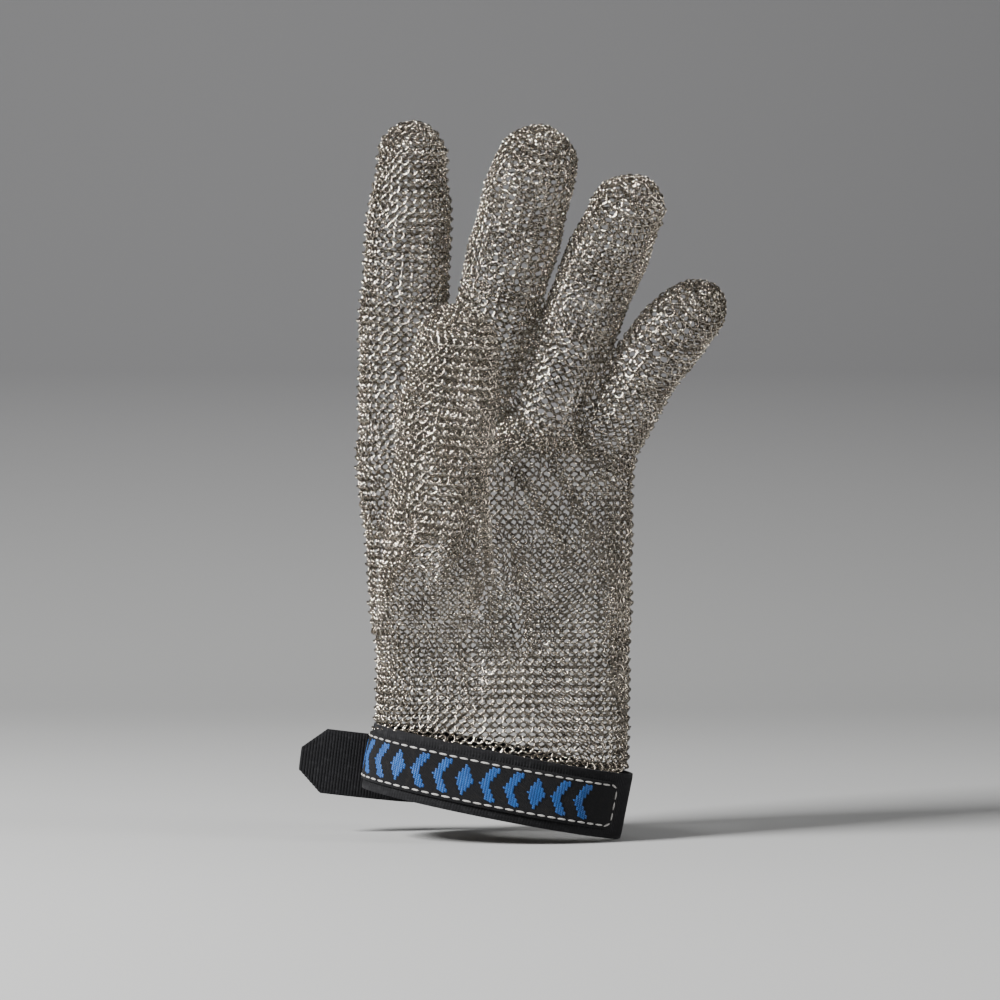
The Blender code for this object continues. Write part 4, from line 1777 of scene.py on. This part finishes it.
@dataclass
class Cuff:
    """The band, its lining, and its label with the stitching and the woven figures."""

    place: CuffFrame
    band_thickness: float = 1.4 * MM
    lining_thickness: float = 1.2 * MM
    lining_depth: float = 3.2 * MM
    lining_from: float = 0.3 * MM
    lining_to: float = 22.0 * MM
    lining_ribs: int = 300
    band_rib: float = 1.15 * MM
    layer_gap: float = 0.3 * MM
    label_width: float = 18.0 * MM
    label_thickness: float = 0.55 * MM
    label_from_deg: float = -27.0
    label_to_deg: float = -195.0
    label_corner: float = 4.0 * MM
    figure_half_width: float = 3.9 * MM
    figure_half_height: float = 6.1 * MM
    figure_room: float = 9.2 * MM
    figures_from: float = 13.0 * MM
    figure_count: int = 13
    stitch_inset: float = 1.3 * MM
    stitch_length: float = 3.3 * MM
    stitch_gap: float = 0.75 * MM
    stitch_corner: float = 3.0 * MM
    stitch_seed: int = 3
    thread_high: float = 0.64 * MM
    thread_long: float = 1.0 * MM
    thread_slant_deg: float = 24.0

    def oval(self, inset: float, start: float = 0.0, end: float = 360.0) -> OvalPath:
        """Lays a path round the cuff.

        Args:
            inset: How far inside the band's outer face.
            start: The angle where it starts, in degrees.
            end: The angle where it ends.

        Returns:
            The path.
        """
        return OvalPath(
            self.place.half_width - inset, self.place.half_depth - inset, start, end
        )

    def build(self, effects: Effects) -> list:
        """Builds and dresses the cuff.

        Args:
            effects: The shared node groups.

        Returns:
            Its pieces, the band first.
        """
        webbing = BLACK_WEBBING.make(effects)
        lining_cloth = BLACK_LINING.make(effects)
        label_cloth = BLACK_LABEL.make(effects)
        blue = BLUE_THREAD.make(effects)
        white = WHITE_THREAD.make(effects)
        pieces = [
            self.dressed(self.band(), webbing, "black_webbing", "cuff_band"),
            self.dressed(self.lining(), lining_cloth, "black_lining", "cuff_lining"),
            self.dressed(self.label(), label_cloth, "woven_label", "cuff_label"),
            self.dressed(self.figures(), blue, "woven_label"),
            self.dressed(self.running_stitch(), white, "woven_label"),
        ]
        return pieces

    @staticmethod
    def dressed(
        piece: bpy.types.Object, material: bpy.types.Material, slot: str, *stands_for: str
    ) -> bpy.types.Object:
        """Dresses a piece of the cuff and lets it ride there.

        Args:
            piece: The finished mesh.
            material: Its material.
            slot: The record's material slot; not used.
            stands_for: The CAD nodes that it replaces.

        Returns:
            The same piece.
        """
        dress(piece, material)
        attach(piece, "cuff")
        if stands_for:
            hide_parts(*stands_for)
        LOG.info("%s", piece.name)
        return piece

    def band(self) -> bpy.types.Object:
        """Makes the webbing loop.

        Returns:
            The piece.
        """
        path = self.oval(self.band_thickness / 2)
        ribs = round(path.length / self.band_rib)
        return Ribbon(
            "cuff_webbing", path, path.length, 0.0, self.place.width,
            self.band_thickness - 0.2 * MM, rib_pitch=path.length / ribs, closed=True,
            columns=ribs * 4, rows=14,
        ).build(self.place.world)

    def lining(self) -> bpy.types.Object:
        """Makes the tape inside the cuff.

        Returns:
            The piece.
        """
        path = self.oval(self.lining_depth + self.lining_thickness / 2)
        return Ribbon(
            "cuff_inside_tape", path, path.length, self.lining_from, self.lining_to,
            self.lining_thickness, rib_pitch=path.length / self.lining_ribs,
            rib_depth=0.04 * MM, closed=True, columns=self.lining_ribs * 2, rows=10,
        ).build(self.place.world)

    def label_path(self, lift: float) -> OvalPath:
        """Returns the label's path, at a height over the band's face."""
        return self.oval(-lift, self.label_from_deg, self.label_to_deg)

    def label(self) -> bpy.types.Object:
        """Makes the woven label with its rounded end.

        Returns:
            The piece.
        """
        middle = self.place.width / 2
        path = self.label_path(self.layer_gap + self.label_thickness / 2)
        corner = self.label_corner
        full = self.label_width / 2

        def half_width(s: Array) -> Array:
            """Returns the half-width at distances from the rounded end."""
            short = np.maximum(0.0, corner - s)
            return full - (corner - np.sqrt(np.maximum(corner**2 - short**2, 0)))

        return Ribbon(
            "label_cloth", path, path.length, middle - full, middle + full,
            self.label_thickness, rib_depth=0.02 * MM, half_width_at=half_width,
            columns=260, rows=12,
        ).build(self.place.world)

    def on_label(self, s: Array, t: Array, lift: float) -> tuple:
        """Carries places on the label into the glove's frame.

        Args:
            s: Distances along it from its rounded end.
            t: Distances across it from its middle line.
            lift: The height over its face.

        Returns:
            The points, and the ways along, across and out there.
        """
        path = self.label_path(self.layer_gap + self.label_thickness + lift)
        flat, out = path(s)
        ahead, _ = path(s + 0.2 * MM)
        behind, _ = path(np.maximum(s - 0.2 * MM, 0))
        way = unit(ahead - behind)
        none = np.zeros((len(s), 1))
        middle = self.place.width / 2
        points = np.concatenate([flat, (middle + t)[:, None]], axis=1)
        along = np.concatenate([way, none], axis=1)
        out = np.concatenate([out, none], axis=1)
        across = np.tile([0.0, 0.0, 1.0], (len(s), 1))
        return tuple(self.place.world(v) for v in (points, along, across, out))

    def running_stitch(self) -> bpy.types.Object:
        """Makes the white stitching round the label's edge.

        Returns:
            The piece.
        """
        inset = self.stitch_inset
        half = self.label_width / 2 - inset
        corner = self.stitch_corner
        length = self.label_path(0).length - 2.0 * MM
        turns = np.linspace(0, math.pi / 2, 12)
        top = [(s, half) for s in np.linspace(length, inset + corner, 400)]
        round_top = [
            (inset + corner * (1 - math.sin(a)), half - corner * (1 - math.cos(a))) for a in turns
        ]
        down = [(inset, t) for t in np.linspace(half - corner, -half + corner, 30)]
        round_low = [(s, -t) for s, t in reversed(round_top)]
        low = [(s, -t) for s, t in reversed(top)]
        outline = np.array(top + round_top + down + round_low + low)
        steps = np.linalg.norm(np.diff(outline, axis=0), axis=1)
        walked = np.concatenate([[0], np.cumsum(steps)])
        pitch = self.stitch_length + self.stitch_gap
        count = int(walked[-1] / pitch)
        middles = (np.arange(count) + 0.5) * walked[-1] / count
        s, t = read_line(middles, walked, outline).T
        ahead = read_line(middles + MM, walked, outline)
        way = unit(ahead - read_line(middles - MM, walked, outline))
        points, along, across, out = self.on_label(s, t, 0.05 * MM)
        heading = way[:, :1] * along + way[:, 1:] * across
        rng = np.random.default_rng(self.stitch_seed)
        lengths = self.stitch_length * rng.uniform(0.9, 1.08, count)
        return Stitches("label_stitching", 0.36 * MM).build(points, heading, out, lengths)

    def figures(self) -> bpy.types.Object:
        """Makes the blue figures, woven of short slanting threads.

        Returns:
            The piece.
        """
        order = (Motif.CHEVRONS, Motif.CHEVRONS, Motif.DIAMOND)
        half, tall = self.figure_half_width, self.figure_half_height
        high, long = self.thread_high, self.thread_long
        places = []
        for number in range(self.figure_count):
            centre = self.figures_from + number * self.figure_room + half
            columns = np.arange(-half, half + long / 2, long)
            for column, x in enumerate(columns):
                y = np.arange(-tall, tall, high) + (column % 2) * high / 2
                figure = order[number % len(order)]
                inside = figure.covers(np.full(len(y), x / half), y / tall)
                places += [(centre + x, v) for v in y[inside]]
        s, t = np.array(places).T
        points, along, across, out = self.on_label(s, t, 0.02 * MM)
        slant = math.radians(self.thread_slant_deg)
        heading = along * math.cos(slant) + across * math.sin(slant)
        lengths = np.full(len(s), long * 1.35)
        return Stitches("label_figures", 0.34 * MM, 0.7).build(points, heading, out, lengths)


@dataclass
class Strap:
    """The strap round the back of the wrist and its free tail, which repeat the part's route."""

    place: CuffFrame
    joints: dict
    tilt_deg: float = 7.0
    height: float = 10.0 * MM
    thickness: float = 1.5 * MM
    lift: float = 4.0 * MM
    layer_gap: float = 0.3 * MM
    side_clearance: float = 1.6 * MM
    from_deg: float = 26.0
    leaves_deg: float = 134.0
    width: float = 25.0 * MM
    tail_length: float = 41.0 * MM
    tail_point: float = 9.0 * MM
    tail_tip_width: float = 9.0 * MM

    def __post_init__(self) -> None:
        """Lays the route along the strap's inner face."""
        tilt = math.radians(self.tilt_deg)
        self.side = np.array([math.cos(tilt), 0.0, -math.sin(tilt)])
        self.upright = np.array([math.sin(tilt), 0.0, math.cos(tilt)])
        lean = math.acos(min(1.0, float(self.place.upright[2])))
        self.origin = np.array([self.height * math.tan(lean), 0.0, self.height])
        degrees = np.arange(self.from_deg, self.leaves_deg + 1, 2.0)
        share = smooth_share((degrees - self.from_deg) / (90 - self.from_deg))
        lift = self.layer_gap + (self.lift - self.layer_gap) * share
        turn = np.radians(degrees)
        a = self.place.half_width + self.side_clearance
        route = np.stack([a * np.cos(turn), (self.place.half_depth + lift) * np.sin(turn)], axis=1)
        heading = unit(route[-1] - route[-3])
        points = list(route)
        steps = 24
        for number in range(steps):
            share_out = ((number + 1) / steps) ** 0.5
            way = unit(heading * (1 - share_out) + np.array([-1.0, 0.02]) * share_out)
            points.append(points[-1] + way * self.tail_length / steps)
        self.route = np.array(points)
        lengths = np.linalg.norm(np.diff(self.route, axis=0), axis=1)
        self.walked = np.concatenate([[0], np.cumsum(lengths)])
        self.total = float(self.walked[-1])

    def world(self, points: Array) -> Array:
        """Carries points out of the strap's own frame.

        Args:
            points: Points of the strap's frame.

        Returns:
            The points in the glove's frame.
        """
        return (
            self.origin
            + points[..., :1] * self.side
            + points[..., 1:2] * np.array([0.0, 1.0, 0.0])
            + points[..., 2:] * self.upright
        )

    def section(self, start: float) -> PathFunction:
        """Takes the route from a distance on, along the strap's middle.

        Args:
            start: The distance where the section starts.

        Returns:
            The path.
        """

        def path(s: Array) -> tuple:
            """Reads the middle line.

            Args:
                s: Distances from the start.

            Returns:
                Its points and the ways out from it.
            """
            at = s + start
            near = np.clip(at, MM, self.total - MM)
            ahead = read_line(near + MM, self.walked, self.route)
            way = unit(ahead - read_line(near - MM, self.walked, self.route))
            out = np.stack([way[:, 1], -way[:, 0]], axis=1)
            return read_line(at, self.walked, self.route) + out * self.thickness / 2, out

        return path

    def near(self, point: Sequence[float]) -> float:
        """Finds where along the route a point of the glove lies.

        Args:
            point: The point.

        Returns:
            The distance along.
        """
        gap = np.array(point) - self.origin
        flat = np.array([gap @ self.side, gap[1]])
        return float(self.walked[np.argmin(np.linalg.norm(self.route - flat, axis=1))])

    def build(self, effects: Effects, webbing: bpy.types.Material) -> list:
        """Builds the strap and its tail.

        Args:
            effects: The shared node groups; not used.
            webbing: The cuff's webbing material.

        Returns:
            Both pieces.
        """
        hinge = self.joints["strap_open"]["pos_m"]
        fold = self.joints["tail_bend"]["pos_m"]
        cut = (self.near(hinge) + self.near(fold)) / 2

        def tapered(s: Array) -> Array:
            """Returns the half-width at distances along the tail."""
            left = np.clip((self.total - cut - s) / self.tail_point, 0, 1)
            return (self.tail_tip_width + (self.width - self.tail_tip_width) * left) / 2

        half = self.width / 2
        strap = Ribbon(
            "strap_webbing", self.section(0.0), cut, -half, half, self.thickness - 0.2 * MM
        ).build(self.world)
        tail = Ribbon(
            "strap_tail", self.section(cut), self.total - cut, -half, half,
            self.thickness - 0.2 * MM, half_width_at=tapered,
        ).build(self.world)
        for piece, nodes, bodies, at in (
            (strap, ("strap_anchor", "strap_web"), ("cuff", "strap"), hinge),
            (tail, ("strap_tail_web",), ("strap", "strap_tail"), fold),
        ):
            dress(piece, webbing)
            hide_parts(*nodes)
            s = self.near(at)
            reach = 5 * MM
            ends = self.section(0.0)(np.array([s - reach, s + reach]))[0]
            start, end = self.world(np.concatenate([ends, np.zeros((2, 1))], axis=1))
            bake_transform(piece)
            LOG.info("%s", piece.name)
        return [strap, tail]


# The setting


@dataclass(frozen=True)
class Lamp:
    """A soft square light: where it stands, what it points at, its side and its watts."""

    name: str
    place: tuple
    aim: tuple
    size: float
    power: float


@dataclass
class Studio:
    """A pale floor that curves up behind the glove, soft lights, and the camera."""

    floor_height: float
    distance: float = 1.4
    lens: float = 131.6
    aim_x: float = 3.45 * MM
    aim_z: float = 119.5 * MM
    air: float = 0.05
    lamps: Sequence[Lamp] = (
        Lamp("key", (-1.1, -0.72, 1.0), (0.0, 0.0, 0.13), 0.45, 100.0),
        Lamp("side", (1.1, -0.45, 0.5), (0.0, 0.0, 0.12), 0.4, 10.0),
        Lamp("backdrop", (0.0, 0.55, 1.5), (0.0, 1.6, 0.1), 1.2, 6.0),
    )

    def build(self) -> None:
        """Makes the floor, the lights, the world and the camera."""
        self.floor()
        for lamp in self.lamps:
            self.light(lamp)
        world = bpy.data.worlds.new("studio_air")
        bpy.context.scene.world = world
        world.use_nodes = True
        background = world.node_tree.nodes["Background"]
        background.inputs["Color"].default_value = (0.92, 0.95, 1.0, 1)
        background.inputs["Strength"].default_value = self.air
        camera = bpy.data.cameras.new("camera")
        holder = bpy.data.objects.new("camera", camera)
        bpy.context.scene.collection.objects.link(holder)
        camera.sensor_width = 36.0
        camera.lens = self.lens
        camera.clip_start = 0.05
        camera.clip_end = 20.0
        holder.location = (self.aim_x, -self.distance, self.aim_z)
        holder.rotation_euler = (math.radians(90), 0, 0)
        bpy.context.scene.camera = holder

    def floor(self) -> None:
        """Makes the floor and the curve behind it."""
        deselect_all()
        bpy.ops.mesh.primitive_grid_add(x_subdivisions=2, y_subdivisions=96, size=1)
        floor = bpy.context.object
        floor.name = "floor"
        points = place_of(floor)
        walk = (points[:, 1] + 0.5) * 12.0 - 8.0
        bend, radius = 0.9, 0.8
        turn = np.clip((walk - bend) / radius, 0, math.pi / 2)
        rise = np.maximum(walk - bend - radius * math.pi / 2, 0)
        y = np.minimum(walk, bend) + radius * np.sin(turn)
        z = radius * (1 - np.cos(turn)) + rise
        places = np.stack([points[:, 0] * 16.0, y, z + self.floor_height - 0.3 * MM], axis=1)
        set_places(floor, places)
        shade_smooth(floor)
        material = bpy.data.materials.new("pale_paper")
        material.use_nodes = True
        graph = Graph(material.node_tree)
        shader = material.node_tree.nodes["Principled BSDF"]
        noise = graph.node("TexNoise")
        noise.inputs["Scale"].default_value = 3.0
        coordinates = graph.node("TexCoord")
        graph.join(coordinates.outputs["Object"], noise.inputs["Vector"])
        height = graph.node("SeparateXYZ")
        graph.join(coordinates.outputs["Object"], height.inputs[0])
        paper = graph.blend(noise.outputs[0], (0.30, 0.30, 0.297, 1), (0.32, 0.32, 0.317, 1))
        wall = graph.spread(height.outputs[2], 0.0, 0.22, (0.0, 1.0))
        tone = graph.blend(wall, paper, (0.135, 0.135, 0.137, 1))
        graph.join(tone, shader.inputs["Base Color"])
        shader.inputs["Roughness"].default_value = 0.8
        floor.data.materials.append(material)
        floor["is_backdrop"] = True

    @staticmethod
    def light(lamp: Lamp) -> None:
        """Adds a lamp to the scene.

        Args:
            lamp: Which one.
        """
        light = bpy.data.lights.new(lamp.name, "AREA")
        light.size = lamp.size
        light.energy = lamp.power
        holder = bpy.data.objects.new(lamp.name, light)
        bpy.context.scene.collection.objects.link(holder)
        holder.location = lamp.place
        way = Vector(lamp.aim) - Vector(lamp.place)
        holder.rotation_euler = way.to_track_quat("-Z", "Y").to_euler()


@dataclass(frozen=True)
class StudMetal(Finish):
    """Plated metal of the press stud."""

    base: tuple

    def make(self, effects: Effects) -> bpy.types.Material:
        """Makes the metal.

        Args:
            effects: The shared node groups.

        Returns:
            The material.
        """
        material, graph, shader = self.start()
        tone = self.place(graph, effects.wire)
        graph.join((*self.base, 1), tone.inputs["Bright"])
        graph.join(tuple(0.6 * c for c in self.base) + (1,), tone.inputs["Dull"])
        graph.join(0.16, tone.inputs["Smooth"])
        graph.join(0.36, tone.inputs["Worn"])
        graph.join(tone.outputs["Colour"], shader.inputs["Base Color"])
        graph.join(tone.outputs["Roughness"], shader.inputs["Roughness"])
        shader.inputs["Metallic"].default_value = 1.0
        self.bump(graph, shader, tone.outputs["Height"], 0.15, 0.00003)
        return material


def main() -> None:
    """Builds the glove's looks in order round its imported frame."""
    logging.basicConfig(level=logging.INFO, format="%(message)s")
    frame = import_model()
    deselect_all()
    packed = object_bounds()
    joints = {joint["name"]: joint for joint in frame["joints"]}
    upright = -np.array(frame["record"]["mounts"][0]["axis"])
    cuff_place = CuffFrame(unit(upright))
    Studio(packed[0].z).build()
    effects = Effects()
    Mail(joints).build(STEEL_WIRE.make(effects), cuff_place)
    cuff_pieces = Cuff(cuff_place).build(effects)
    Strap(cuff_place, joints).build(effects, cuff_pieces[0].data.materials[0])
    plated = StudMetal("plated_metal", (0.68, 0.67, 0.65)).make(effects)
    for node in ("snap_stud", "snap_eyelet", "snap_socket", "snap_cap"):
        frame["nodes"][node].material_slots[0].material = plated


if __name__ == "__main__":
    main()
